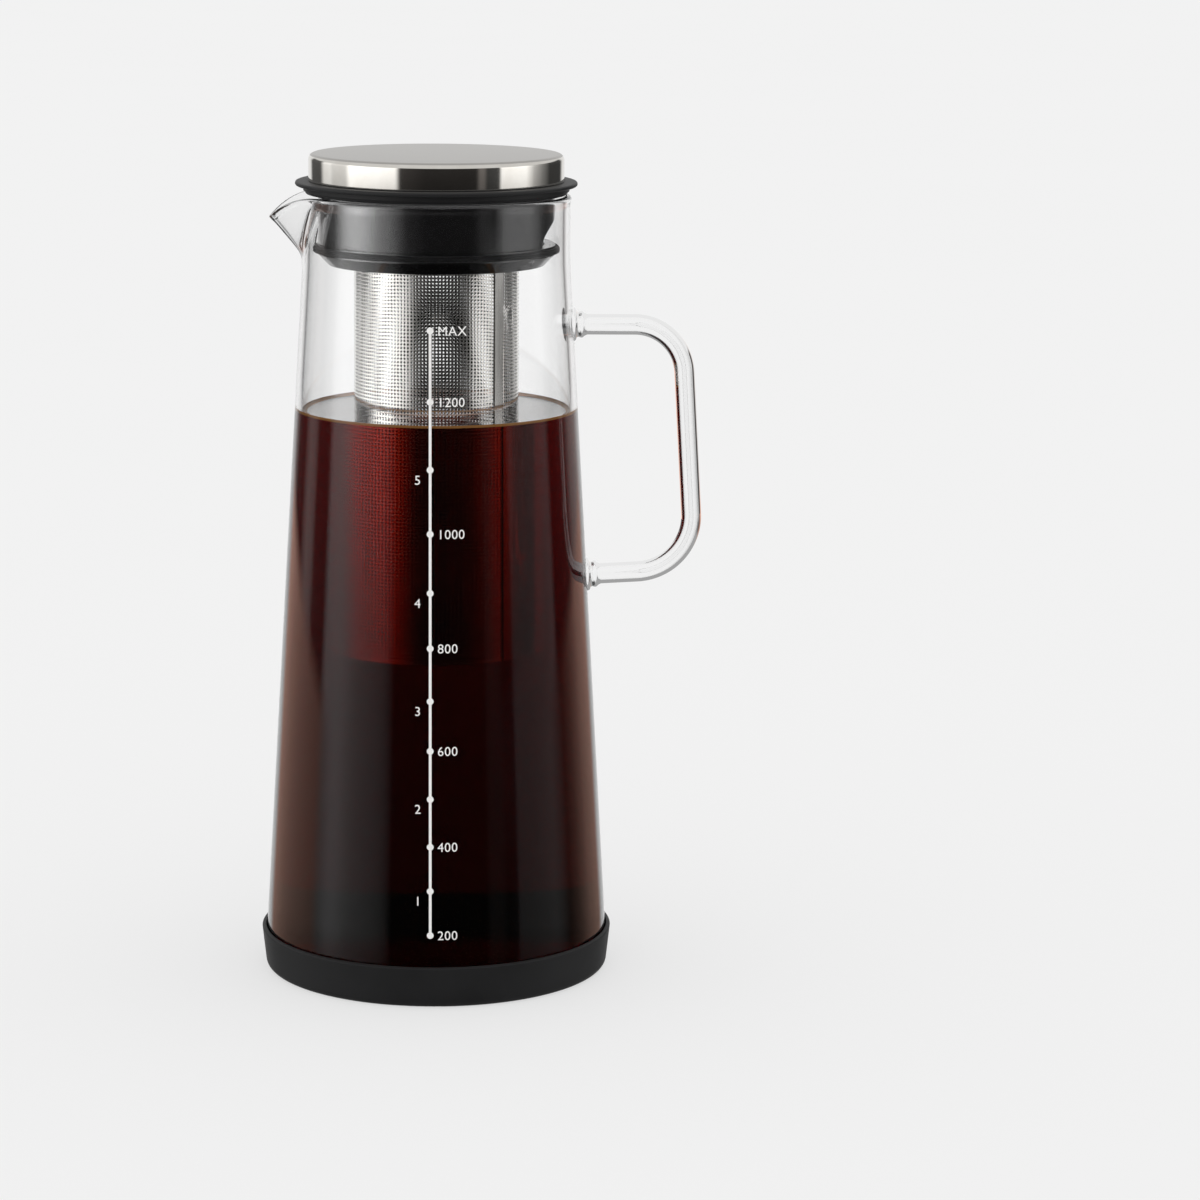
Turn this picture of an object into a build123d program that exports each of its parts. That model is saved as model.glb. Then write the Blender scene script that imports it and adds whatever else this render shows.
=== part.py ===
"""Cold brew coffee maker: a glass carafe in a silicone boot, with a steel filter and a turning lid.

Millimetres. +Z is up, the origin is the centre of the boot's flat underside, the handle points
along +X and the spout along -X.
"""

import os
from math import asin, cos, degrees, radians, sin

from build123d import *

# ---------------------------------------------------------------- driving dimensions

# Silicone boot under the carafe
BOOT_HEIGHT = 12.5
BOOT_FLOOR = 2.5  # thickness under the glass
BOOT_WALL = 1.2  # thickness at the upper edge
BOOT_TAPER = 1.4  # how far the outside draws in towards the table
BOOT_FOOT_ROUND = 2.2
BOOT_GROOVE_RADII = (39.0, 44.0)  # anti-slip grooves in the underside
BOOT_GROOVE_WIDTH = 1.6
BOOT_GROOVE_DEPTH = 0.6

# Glass carafe
GLASS_WALL = 2.1
GLASS_FLOOR = 3.2
FOOT_RADIUS = 52.4  # where the cone would meet the boot's floor
NECK_RADIUS = 39.8
SHOULDER_HEIGHT = 216.0  # where the cone turns into the straight neck
SHOULDER_BLEND = 140.0
RIM_HEIGHT = 235.6
RIM_OVERLAP = 0.8  # how far the spout's form reaches into the neck's wall
HEEL_RADIUS = 9.0
PUNT_RADIUS = 36.0  # the hollow under the foot
PUNT_RISE = 2.2

# Pulled spout
SPOUT_REACH = 50.6  # tip of the lip, from the carafe's axis
SPOUT_TIP_HEIGHT = 229.2
SPOUT_ROOT_HEIGHT = 217.5  # where the underside leaves the neck
SPOUT_LIP_ROOT = 34.5  # where the lip leaves the level rim, from the axis
SPOUT_LIP_MIDDLE = (44.6, 233.7)  # a point that the lip passes, reach and height
SPOUT_START_DROP = 2.0  # how far its form starts below the root, inside the neck
SPOUT_HALF_ANGLE = 32.0  # degrees of the rim that it takes, to each side
SPOUT_ROOT_HALF_ANGLE = 9.0
SPOUT_NOSE_RADIUS = 4.5
SPOUT_NOSE_OVERHANG = 1.1  # what rounding the nose takes off its reach
SPOUT_TIP_SLOPE = 0.95  # fall of the lip at its tip

# Glass handle, a bent rod fused on at both ends
ROD_RADIUS = 3.0
HANDLE_TOP_HEIGHT = 196.8
HANDLE_FOOT_HEIGHT = 120.8
HANDLE_TOP_REACH = 73.6  # where the upper run would meet the grip
HANDLE_FOOT_REACH = 78.0  # where the lower run would meet the grip
HANDLE_FOOT_RISE = 1.7  # how far the lower run climbs on its way out
HANDLE_TOP_BEND = 15.0
HANDLE_FOOT_BEND = 17.0
PAD_RADIUS = 5.0
PAD_LENGTH = 2.4

# Clearances
SLIP = 0.3  # between pieces that come apart or turn on each other
WELD = 0.05  # between pieces that are welded, snapped or glued together

# Filter
TUBE_RADIUS = 24.6
TUBE_WALL = 0.4
TUBE_BOTTOM_HEIGHT = 98.5
SEAM_WIDTH = 3.2
SEAM_WALL = 0.35
SEAM_ANGLE = -43.0  # degrees from the handle, towards the front
CUP_HEIGHT = 5.0
CUP_DISH = 1.2  # how far its middle is pressed up
CUP_FOOT_WIDTH = 5.0
TUBE_RIM_RADIUS = 31.4
TUBE_RIM_WALL = 0.6
TUBE_RIM_SLEEVE = 2.4
COLLAR_HEIGHT = 6.2
COLLAR_RADIUS = 35.4
COLLAR_FOOT_RADIUS = 32.2
COLLAR_BAND = 2.3  # height of its upright edge, which carries the seal
COLLAR_LEDGE = 1.2  # thickness of the lip that the tube's rim rests on
SEAL_RADIUS = 36.7
SEAL_BITE = 1.0  # how deep the seal sits in the collar's groove
SEAL_EDGE = 0.5  # collar left above and below the groove

# Lid
CAP_RADIUS = 38.0
CAP_HEIGHT = 8.1
CAP_WALL = 0.7
CAP_ROUND = 1.8
FLANGE_RADIUS = 41.9
FLANGE_THICKNESS = 2.8
FLANGE_ROUND = 1.3
FLANGE_GAP = 1.1  # from the glass rim up to the flange
DECK_THICKNESS = 1.6
BOSS_RADIUS = 33.4
BOSS_HEIGHT = 4.2
BOSS_WALL = 1.8
GASKET_INNER_RADIUS = 35.9
GASKET_OUTER_RADIUS = 38.9
GASKET_BITE = 0.7  # how deep it sits in the flange
PLUG_RADIUS = 35.2
PLUG_LENGTH = 15.2  # from the flange down to its lower edge
PLUG_WALL = 2.0
SPIGOT_RADIUS = 31.9
SPIGOT_WALL = 1.6
SPIGOT_LENGTH = 3.6
PLUG_SHELF = 1.2
WINDOW_HALF_WIDTH = 17.8
WINDOW_HEIGHT = 7.9
NECK_RING_LENGTH = 1.2  # the ring under the flange that the plug is pressed on
NECK_RING_WALL = 1.5
INSERT_WALL = 1.4
INSERT_RIBS = 6
INSERT_RIB_HEIGHT = 1.6
INSERT_HUB_RADIUS = 7.0

# ---------------------------------------------------------------- worked-out sizes

cone_slope = (FOOT_RADIUS - NECK_RADIUS) / (SHOULDER_HEIGHT - BOOT_FLOOR)
neck_bore = NECK_RADIUS - GLASS_WALL
flange_bottom = RIM_HEIGHT + FLANGE_GAP
flange_top = flange_bottom + FLANGE_THICKNESS
cap_bottom = flange_top + WELD
cap_top = cap_bottom + CAP_HEIGHT
plug_bottom = flange_bottom - PLUG_LENGTH
collar_top = plug_bottom - SLIP
collar_bottom = collar_top - COLLAR_HEIGHT
socket_radius = SPIGOT_RADIUS + SLIP  # the collar's bore round the plug's spigot
tube_top = collar_bottom + COLLAR_LEDGE


def cone_radius(height):
    """Outside radius of the glass cone at a height."""
    return NECK_RADIUS + cone_slope * (SHOULDER_HEIGHT - height)


def circles_at(part, height, radius):
    """The part's round edges of one radius at one height."""
    rings = part.edges().filter_by(GeomType.CIRCLE)
    rings = rings.filter_by_position(Axis.Z, height - WELD, height + WELD)
    return rings.filter_by(lambda ring: abs(ring.radius - radius) < WELD)


# ---------------------------------------------------------------- silicone boot

boot_bore = cone_radius(BOOT_FLOOR + HEEL_RADIUS) + SLIP
boot_rim_radius = boot_bore + BOOT_WALL
boot_foot_radius = boot_rim_radius - BOOT_TAPER

with BuildPart() as base_boot:
    with BuildSketch(Plane.XZ):
        with BuildLine():
            Polyline(
                (0, 0),
                (boot_foot_radius, 0),
                (boot_rim_radius, BOOT_HEIGHT),
                (boot_bore, BOOT_HEIGHT),
                (boot_bore, BOOT_FLOOR),
                (0, BOOT_FLOOR),
                close=True,
            )
        make_face()
    revolve(axis=Axis.Z)
    fillet(circles_at(base_boot, 0, boot_foot_radius), BOOT_FOOT_ROUND)
    fillet(circles_at(base_boot, BOOT_FLOOR, boot_bore), HEEL_RADIUS)
    fillet(circles_at(base_boot, BOOT_HEIGHT, boot_rim_radius), BOOT_WALL / 2)
    for groove_radius in BOOT_GROOVE_RADII:
        with BuildSketch(Plane.XY):
            Circle(groove_radius + BOOT_GROOVE_WIDTH / 2)
            Circle(groove_radius - BOOT_GROOVE_WIDTH / 2, mode=Mode.SUBTRACT)
        extrude(amount=BOOT_GROOVE_DEPTH, mode=Mode.SUBTRACT)
base_boot.part.label = "base_boot"

# ---------------------------------------------------------------- glass carafe with its spout

foot_run = HANDLE_FOOT_REACH - cone_radius(HANDLE_FOOT_HEIGHT)
foot_run_slope = HANDLE_FOOT_RISE / foot_run
foot_run_start = HANDLE_FOOT_HEIGHT - foot_run_slope * (cone_radius(HANDLE_FOOT_HEIGHT) - NECK_RADIUS)
spout_growth = (SPOUT_REACH - NECK_RADIUS) / (SPOUT_TIP_HEIGHT - SPOUT_ROOT_HEIGHT)


def turned_glass(inset, foot_height, heel):
    """The carafe's round body, a wall's thickness smaller for its inside."""
    foot = cone_radius(foot_height) - inset
    neck = NECK_RADIUS - inset
    punt_side = PUNT_RADIUS * sin(radians(45))
    punt_side_height = foot_height + PUNT_RISE / 2
    with BuildPart() as body:
        with BuildSketch(Plane.XZ):
            with BuildLine():
                ThreePointArc(
                    (0, foot_height + PUNT_RISE),
                    (punt_side, punt_side_height),
                    (PUNT_RADIUS, foot_height),
                )
                FilletPolyline(
                    (PUNT_RADIUS, foot_height),
                    (foot, foot_height),
                    (neck, SHOULDER_HEIGHT),
                    (neck, RIM_HEIGHT),
                    radius=[heel, SHOULDER_BLEND],
                )
                Polyline(
                    (neck, RIM_HEIGHT),
                    (0, RIM_HEIGHT),
                    (0, foot_height + PUNT_RISE),
                )
            make_face()
        revolve(axis=Axis.Z)
    return body.part


def spout_form(inset):
    """The spout's outside as one solid, a wall's thickness smaller for its inside."""
    start = SPOUT_ROOT_HEIGHT - SPOUT_START_DROP
    levels = ((start, SPOUT_ROOT_HALF_ANGLE), (RIM_HEIGHT, SPOUT_HALF_ANGLE))
    with BuildPart() as form:
        for height, half_angle in levels:
            reach = NECK_RADIUS - inset + spout_growth * (height - SPOUT_ROOT_HEIGHT)
            root_radius = NECK_RADIUS - inset - RIM_OVERLAP
            root_x = -root_radius * cos(radians(half_angle))
            root_y = root_radius * sin(radians(half_angle))
            with BuildSketch(Plane.XY.offset(height)):
                with BuildLine():
                    FilletPolyline(
                        (root_x, root_y),
                        (-reach - SPOUT_NOSE_OVERHANG, 0),
                        (root_x, -root_y),
                        radius=SPOUT_NOSE_RADIUS,
                    )
                    Line((root_x, -root_y), (root_x, root_y))
                make_face()
        loft(ruled=True)
    return form.part


carafe_outside = turned_glass(0, BOOT_FLOOR, HEEL_RADIUS)
carafe_inside = turned_glass(GLASS_WALL, BOOT_FLOOR + GLASS_FLOOR, HEEL_RADIUS - GLASS_WALL)

with BuildPart() as glass_carafe:
    add(carafe_outside)
    add(spout_form(0))
    with BuildSketch(Plane.XZ):
        with BuildLine():
            lip = Spline(
                (-SPOUT_LIP_ROOT, RIM_HEIGHT),
                (-SPOUT_LIP_MIDDLE[0], SPOUT_LIP_MIDDLE[1]),
                (-SPOUT_REACH, SPOUT_TIP_HEIGHT),
                tangents=[(-1, 0), (-1, -SPOUT_TIP_SLOPE)],
            )
            Line(lip @ 1, lip @ 1 - (SPOUT_REACH, SPOUT_REACH * SPOUT_TIP_SLOPE))
            Polyline(
                lip @ 1 - (SPOUT_REACH, SPOUT_REACH * SPOUT_TIP_SLOPE),
                (-2 * SPOUT_REACH, 2 * RIM_HEIGHT),
                (-SPOUT_LIP_ROOT, 2 * RIM_HEIGHT),
                (-SPOUT_LIP_ROOT, RIM_HEIGHT),
            )
        make_face()
    extrude(amount=NECK_RADIUS, both=True, mode=Mode.SUBTRACT)
    add(carafe_inside, mode=Mode.SUBTRACT)
    add(spout_form(GLASS_WALL), mode=Mode.SUBTRACT)
glass_carafe.part.label = "glass_carafe"

# ---------------------------------------------------------------- glass handle


def fused_pad(label, height, rise):
    """The gob of glass round one end of the rod, where it is fused to the wall."""
    wall = cone_radius(height)
    along = Vector(1, 0, rise).normalized()
    pad_plane = Plane(origin=(wall, 0, height), x_dir=along, z_dir=(0, -1, 0))
    bore = ROD_RADIUS + WELD
    with BuildPart() as pad:
        with BuildSketch(pad_plane):
            with BuildLine():
                nose = CenterArc(
                    (PAD_LENGTH, PAD_RADIUS), PAD_RADIUS - bore, 180, 90
                )
                Polyline(
                    nose @ 1,
                    (PAD_LENGTH, bore),
                    (-PAD_LENGTH, bore),
                    (-PAD_LENGTH, PAD_RADIUS),
                    nose @ 0,
                )
            make_face()
        revolve(axis=Axis((wall, 0, height), along))
        add(carafe_outside, mode=Mode.SUBTRACT)
    pad.part.label = label
    return pad


with BuildPart() as glass_handle:
    with BuildLine(Plane.XZ) as rod_path:
        FilletPolyline(
            (NECK_RADIUS, HANDLE_TOP_HEIGHT),
            (HANDLE_TOP_REACH, HANDLE_TOP_HEIGHT),
            (HANDLE_FOOT_REACH, HANDLE_FOOT_HEIGHT + HANDLE_FOOT_RISE),
            (NECK_RADIUS, foot_run_start),
            radius=[HANDLE_TOP_BEND, HANDLE_FOOT_BEND],
        )
    with BuildSketch(Plane(origin=rod_path.line @ 0, z_dir=rod_path.line % 0)):
        Circle(ROD_RADIUS)
    sweep(path=rod_path.line)
    add(carafe_outside, mode=Mode.SUBTRACT)
glass_handle.part.label = "glass_handle"

handle_upper_pad = fused_pad("handle_upper_pad", HANDLE_TOP_HEIGHT, 0)
handle_lower_pad = fused_pad("handle_lower_pad", HANDLE_FOOT_HEIGHT, foot_run_slope)

# ---------------------------------------------------------------- filter

with BuildPart() as filter_tube:
    with BuildSketch(Plane.XY.offset(TUBE_BOTTOM_HEIGHT)):
        Circle(TUBE_RADIUS)
        Circle(TUBE_RADIUS - TUBE_WALL, mode=Mode.SUBTRACT)
    extrude(amount=tube_top - TUBE_BOTTOM_HEIGHT)
filter_tube.part.label = "filter_tube"

seam_inner = TUBE_RADIUS + WELD
seam_half_angle = degrees(asin(SEAM_WIDTH / 2 / seam_inner))

with BuildPart() as filter_seam:
    with BuildSketch(Plane.XY.offset(TUBE_BOTTOM_HEIGHT)):
        with BuildLine():
            start_angle = SEAM_ANGLE - seam_half_angle
            inner = CenterArc((0, 0), seam_inner, start_angle, 2 * seam_half_angle)
            outer = CenterArc((0, 0), seam_inner + SEAM_WALL, start_angle, 2 * seam_half_angle)
            Line(inner @ 0, outer @ 0)
            Line(inner @ 1, outer @ 1)
        make_face()
    extrude(amount=collar_bottom - WELD - TUBE_BOTTOM_HEIGHT)
filter_seam.part.label = "filter_seam"

cup_outer = TUBE_RADIUS - TUBE_WALL - WELD
cup_dish_radius = cup_outer - CUP_FOOT_WIDTH
with BuildPart() as filter_cup:
    with BuildSketch(Plane.XZ):
        with BuildLine():
            Polyline(
                (0, TUBE_BOTTOM_HEIGHT + CUP_DISH),
                (cup_dish_radius, TUBE_BOTTOM_HEIGHT + CUP_DISH),
                (cup_dish_radius + CUP_DISH, TUBE_BOTTOM_HEIGHT),
                (cup_outer, TUBE_BOTTOM_HEIGHT),
                (cup_outer, TUBE_BOTTOM_HEIGHT + CUP_HEIGHT),
                (cup_outer - TUBE_WALL, TUBE_BOTTOM_HEIGHT + CUP_HEIGHT),
                (cup_outer - TUBE_WALL, TUBE_BOTTOM_HEIGHT + TUBE_WALL),
                (cup_dish_radius + CUP_DISH, TUBE_BOTTOM_HEIGHT + TUBE_WALL),
                (cup_dish_radius, TUBE_BOTTOM_HEIGHT + CUP_DISH + TUBE_WALL),
                (0, TUBE_BOTTOM_HEIGHT + CUP_DISH + TUBE_WALL),
                close=True,
            )
        make_face()
    revolve(axis=Axis.Z)
    fillet(circles_at(filter_cup, TUBE_BOTTOM_HEIGHT, cup_outer), TUBE_WALL / 2)
filter_cup.part.label = "filter_cup"

rim_bottom = tube_top + WELD
rim_sleeve_outer = TUBE_RADIUS - TUBE_WALL - WELD
with BuildPart() as filter_rim:
    with BuildSketch(Plane.XZ):
        with BuildLine():
            Polyline(
                (rim_sleeve_outer, rim_bottom),
                (TUBE_RIM_RADIUS, rim_bottom),
                (TUBE_RIM_RADIUS, rim_bottom + TUBE_RIM_WALL),
                (rim_sleeve_outer - TUBE_WALL, rim_bottom + TUBE_RIM_WALL),
                (rim_sleeve_outer - TUBE_WALL, rim_bottom - TUBE_RIM_SLEEVE),
                (rim_sleeve_outer, rim_bottom - TUBE_RIM_SLEEVE),
                close=True,
            )
        make_face()
    revolve(axis=Axis.Z)
    bend = circles_at(filter_rim, rim_bottom + TUBE_RIM_WALL, rim_sleeve_outer - TUBE_WALL)
    fillet(bend, TUBE_RIM_WALL / 2)
filter_rim.part.label = "filter_rim"

seal_top = collar_top - SEAL_EDGE
seal_bottom = collar_top - COLLAR_BAND
groove_radius = COLLAR_RADIUS - SEAL_BITE
collar_bore = TUBE_RADIUS + SEAM_WALL + 2 * WELD
with BuildPart() as filter_collar:
    with BuildSketch(Plane.XZ):
        with BuildLine():
            Polyline(
                (collar_bore, collar_bottom),
                (COLLAR_FOOT_RADIUS, collar_bottom),
                (COLLAR_RADIUS, seal_bottom - SEAL_EDGE),
                (COLLAR_RADIUS, seal_bottom),
                (groove_radius, seal_bottom),
                (groove_radius, seal_top),
                (COLLAR_RADIUS, seal_top),
                (COLLAR_RADIUS, collar_top),
                (socket_radius, collar_top),
                (socket_radius, rim_bottom + TUBE_RIM_WALL + WELD),
                (TUBE_RIM_RADIUS + WELD, rim_bottom + TUBE_RIM_WALL + WELD),
                (TUBE_RIM_RADIUS + WELD, tube_top),
                (collar_bore, tube_top),
                close=True,
            )
        make_face()
    revolve(axis=Axis.Z)
    fillet(circles_at(filter_collar, collar_bottom, COLLAR_FOOT_RADIUS), SEAL_EDGE)
filter_collar.part.label = "filter_collar"

with BuildPart() as filter_seal:
    with BuildSketch(Plane.XZ):
        with BuildLine():
            Polyline(
                (groove_radius + WELD, seal_bottom + WELD),
                (SEAL_RADIUS, seal_bottom + WELD),
                (SEAL_RADIUS, seal_top - WELD),
                (groove_radius + WELD, seal_top - WELD),
                close=True,
            )
        make_face()
    revolve(axis=Axis.Z)
    seal_edges = circles_at(filter_seal, seal_bottom + WELD, SEAL_RADIUS)
    seal_edges += circles_at(filter_seal, seal_top - WELD, SEAL_RADIUS)
    fillet(seal_edges, SEAL_EDGE)
filter_seal.part.label = "filter_seal"

# ---------------------------------------------------------------- lid

plug_top = flange_bottom - WELD
spigot_bottom = collar_top - SPIGOT_LENGTH
spigot_bore = SPIGOT_RADIUS - SPIGOT_WALL
plug_bore = PLUG_RADIUS - PLUG_WALL

with BuildPart() as lid_plug:
    with BuildSketch(Plane.XZ):
        with BuildLine():
            Polyline(
                (spigot_bore, plug_bottom),
                (PLUG_RADIUS, plug_bottom),
                (PLUG_RADIUS, plug_top),
                (plug_bore, plug_top),
                (plug_bore, plug_bottom + PLUG_SHELF),
                (spigot_bore, plug_bottom + PLUG_SHELF),
                close=True,
            )
        make_face()
    revolve(axis=Axis.Z)
    with BuildSketch(Plane.YZ):
        with Locations((0, plug_bottom)):
            Ellipse(WINDOW_HALF_WIDTH, WINDOW_HEIGHT)
    extrude(amount=2 * PLUG_RADIUS, mode=Mode.SUBTRACT)
    with BuildSketch(Plane.XY.offset(spigot_bottom)):
        Circle(SPIGOT_RADIUS)
        Circle(spigot_bore, mode=Mode.SUBTRACT)
    extrude(amount=plug_bottom + PLUG_SHELF - spigot_bottom)
lid_plug.part.label = "lid_plug"

neck_ring_outer = plug_bore - WELD
with BuildPart() as lid_flange:
    with BuildSketch(Plane.XZ):
        with BuildLine():
            Polyline(
                (0, flange_top - DECK_THICKNESS),
                (neck_ring_outer - NECK_RING_WALL, flange_top - DECK_THICKNESS),
                (neck_ring_outer - NECK_RING_WALL, flange_bottom - NECK_RING_LENGTH),
                (neck_ring_outer, flange_bottom - NECK_RING_LENGTH),
                (neck_ring_outer, flange_bottom),
                (FLANGE_RADIUS, flange_bottom),
                (FLANGE_RADIUS, flange_top),
                (BOSS_RADIUS, flange_top),
                (BOSS_RADIUS, flange_top + BOSS_HEIGHT),
                (BOSS_RADIUS - BOSS_WALL, flange_top + BOSS_HEIGHT),
                (BOSS_RADIUS - BOSS_WALL, flange_top),
                (0, flange_top),
                close=True,
            )
        make_face()
    revolve(axis=Axis.Z)
    with BuildSketch(Plane.XY.offset(flange_bottom)):
        Circle(GASKET_OUTER_RADIUS + SLIP)
        Circle(GASKET_INNER_RADIUS - SLIP, mode=Mode.SUBTRACT)
    extrude(amount=GASKET_BITE + SLIP, mode=Mode.SUBTRACT)
    fillet(circles_at(lid_flange, flange_bottom, FLANGE_RADIUS), FLANGE_ROUND)
    fillet(circles_at(lid_flange, flange_top, FLANGE_RADIUS), FLANGE_ROUND)
lid_flange.part.label = "lid_flange"

gasket_bottom = RIM_HEIGHT + SLIP
with BuildPart() as lid_gasket:
    with BuildSketch(Plane.XY.offset(gasket_bottom)):
        Circle(GASKET_OUTER_RADIUS)
        Circle(GASKET_INNER_RADIUS, mode=Mode.SUBTRACT)
    extrude(amount=flange_bottom + GASKET_BITE - gasket_bottom)
    gasket_edges = circles_at(lid_gasket, gasket_bottom, GASKET_OUTER_RADIUS)
    gasket_edges += circles_at(lid_gasket, gasket_bottom, GASKET_INNER_RADIUS)
    fillet(gasket_edges, SLIP)
lid_gasket.part.label = "lid_gasket"

cap_bore = CAP_RADIUS - CAP_WALL
with BuildPart() as lid_cap:
    with BuildSketch(Plane.XY.offset(cap_bottom)):
        Circle(CAP_RADIUS)
    extrude(amount=CAP_HEIGHT)
    fillet(circles_at(lid_cap, cap_top, CAP_RADIUS), CAP_ROUND)
    with BuildSketch(Plane.XY.offset(cap_bottom)):
        Circle(cap_bore)
    extrude(amount=CAP_HEIGHT - CAP_WALL, mode=Mode.SUBTRACT)
    fillet(circles_at(lid_cap, cap_top - CAP_WALL, cap_bore), CAP_ROUND - CAP_WALL)
lid_cap.part.label = "lid_cap"

insert_outer = cap_bore - WELD
insert_inner = BOSS_RADIUS + WELD
insert_top = cap_top - CAP_WALL - WELD
insert_deck_bottom = insert_top - INSERT_WALL
with BuildPart() as cap_insert:
    with BuildSketch(Plane.XY.offset(cap_bottom)):
        Circle(insert_outer)
    extrude(amount=insert_top - cap_bottom)
    fillet(circles_at(cap_insert, insert_top, insert_outer), CAP_ROUND - CAP_WALL)
    with BuildSketch(Plane.XY.offset(cap_bottom)):
        Circle(insert_inner)
    extrude(amount=insert_deck_bottom - cap_bottom, mode=Mode.SUBTRACT)
    with BuildSketch(Plane.XY.offset(insert_deck_bottom)):
        Circle(INSERT_HUB_RADIUS)
        Circle(INSERT_HUB_RADIUS - INSERT_WALL, mode=Mode.SUBTRACT)
        with PolarLocations((INSERT_HUB_RADIUS + insert_inner) / 2, INSERT_RIBS):
            Rectangle(insert_inner - INSERT_HUB_RADIUS + INSERT_WALL, INSERT_WALL)
    extrude(amount=-INSERT_RIB_HEIGHT)
cap_insert.part.label = "cap_insert"

# ---------------------------------------------------------------- one file for each piece

pieces = (
    base_boot,
    glass_carafe,
    glass_handle,
    handle_upper_pad,
    handle_lower_pad,
    filter_tube,
    filter_seam,
    filter_cup,
    filter_rim,
    filter_collar,
    filter_seal,
    lid_plug,
    lid_flange,
    lid_gasket,
    lid_cap,
    cap_insert,
)

os.makedirs("parts", exist_ok=True)
for piece in pieces:
    export_step(piece.part, f"parts/{piece.part.label}.step")
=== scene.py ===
"""Finishes a cold brew coffee maker: its glass, coffee, steel filter, lid, boot and printed scale.

The file is laid out as an add-on. Run as a script, it registers its operators, calls them in order and
leaves the finished maker on a plain studio floor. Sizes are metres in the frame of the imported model: +Z
up, the origin under the middle of the boot, the handle along +X and the spout along -X.
"""

import math

import bmesh
import bpy
from mathutils import Matrix, Vector


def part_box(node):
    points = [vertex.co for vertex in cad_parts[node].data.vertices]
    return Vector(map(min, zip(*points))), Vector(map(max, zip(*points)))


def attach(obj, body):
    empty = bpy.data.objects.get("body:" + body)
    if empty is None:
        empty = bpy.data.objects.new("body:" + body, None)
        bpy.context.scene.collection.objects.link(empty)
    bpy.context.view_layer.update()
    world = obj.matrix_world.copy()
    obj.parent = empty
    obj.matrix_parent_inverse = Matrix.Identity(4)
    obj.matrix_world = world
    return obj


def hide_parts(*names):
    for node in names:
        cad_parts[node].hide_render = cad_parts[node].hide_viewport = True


bl_info = {
    "name": "Cold Brew Coffee Maker",
    "version": (1, 0, 0),
    "blender": (4, 5, 0),
    "location": "View3D > Sidebar > Coffee Maker",
    "description": "Finishes the glass, steel and silicone of a cold brew coffee maker",
    "category": "Object",
}

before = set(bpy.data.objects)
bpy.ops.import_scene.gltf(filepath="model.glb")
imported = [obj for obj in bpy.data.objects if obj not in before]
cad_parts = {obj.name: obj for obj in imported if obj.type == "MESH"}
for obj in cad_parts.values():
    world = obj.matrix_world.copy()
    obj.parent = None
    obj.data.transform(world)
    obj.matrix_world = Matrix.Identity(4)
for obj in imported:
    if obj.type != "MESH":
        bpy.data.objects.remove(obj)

MM = 0.001
TINY = MM / 100  # what is nearer than this counts as the same place
TURNED_STEPS = 192  # faces round a turned piece
LID_STEPS = 256  # the same for the lid, whose edges mirror the lights
GLASS_STEPS = 384  # faces round the carafe, close enough together for its spout
SHARP = math.radians(32)
SOFT = math.radians(60)  # for pieces whose only sharp edges are cut ones

glass_low, glass_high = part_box("glass_carafe")
tube_low, tube_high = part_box("filter_tube")
collar_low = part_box("filter_collar")[0]
flange_low, flange_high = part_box("lid_flange")
cap_low, cap_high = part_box("lid_cap")


# ---------------------------------------------------------------- settings


def length(name, description, millimetres):
    """A length property with its default in millimetres."""
    return bpy.props.FloatProperty(
        name=name, description=description, default=millimetres * MM, precision=4,
        unit="LENGTH", subtype="DISTANCE",
    )


def angle(name, description, degrees):
    """An angle property with its default in degrees."""
    return bpy.props.FloatProperty(
        name=name, description=description, default=math.radians(degrees),
        unit="ROTATION", subtype="ANGLE",
    )


class CarafeSettings(bpy.types.PropertyGroup):
    """Sizes of the blown glass body and its spout."""

    wall: length("Wall", "Thickness of the glass", 2.1)
    base: length("Base", "Thickness of the glass under the coffee", 3.2)
    foot: length("Foot radius", "Outside of the cone at its foot", 52.4)
    neck: length("Neck radius", "Outside of the straight neck", 39.8)
    shoulder: length("Shoulder height", "Where the cone turns into the neck", 216)
    shoulder_bend: length("Shoulder bend", "Radius of that turn", 140)
    heel: length("Heel", "Radius of the turn into the foot", 9)
    punt: length("Punt radius", "Radius of the hollow under the foot", 36)
    punt_rise: length("Punt rise", "How far the hollow rises", 2.2)
    bead: length("Rim bead", "How far the fire-polished rim swells past the wall", 0.3)
    spout_reach: length("Spout reach", "From the axis to the tip of the lip", 50.2)
    spout_tip: length("Spout tip height", "Height of the lip's tip", 229.6)
    spout_root: length("Spout root height", "Where its underside leaves the neck", 217.5)
    spout_lip: length("Lip root", "Where the lip leaves the level rim, from the axis", 34.5)
    spout_half: angle("Spout half angle", "How much of the rim it takes, to each side", 32)


class HandleSettings(bpy.types.PropertyGroup):
    """Sizes of the bent glass rod and the gobs that fuse it on."""

    rod: length("Rod radius", "Radius of the glass rod", 3.1)
    bore: length("Bore radius", "Radius of the fine bore that drawn rod keeps", 0.95)
    top: length("Upper run height", "Height of the level upper run", 196.8)
    foot: length("Lower joint height", "Where the lower run meets the glass", 120.8)
    foot_rise: length("Lower run rise", "How far the lower run climbs on its way out", 1.7)
    top_reach: length("Upper reach", "Where the upper run would meet the grip", 73.48)
    foot_reach: length("Lower reach", "Where the lower run would meet the grip", 77.88)
    top_bend: length("Upper bend", "Bend radius of the upper corner", 15)
    foot_bend: length("Lower bend", "Bend radius of the lower corner", 17)
    gob: length("Gob radius", "Radius of the glass that fuses the rod on", 5)
    gob_length: length("Gob length", "How far it runs out along the rod", 4.2)


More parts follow.
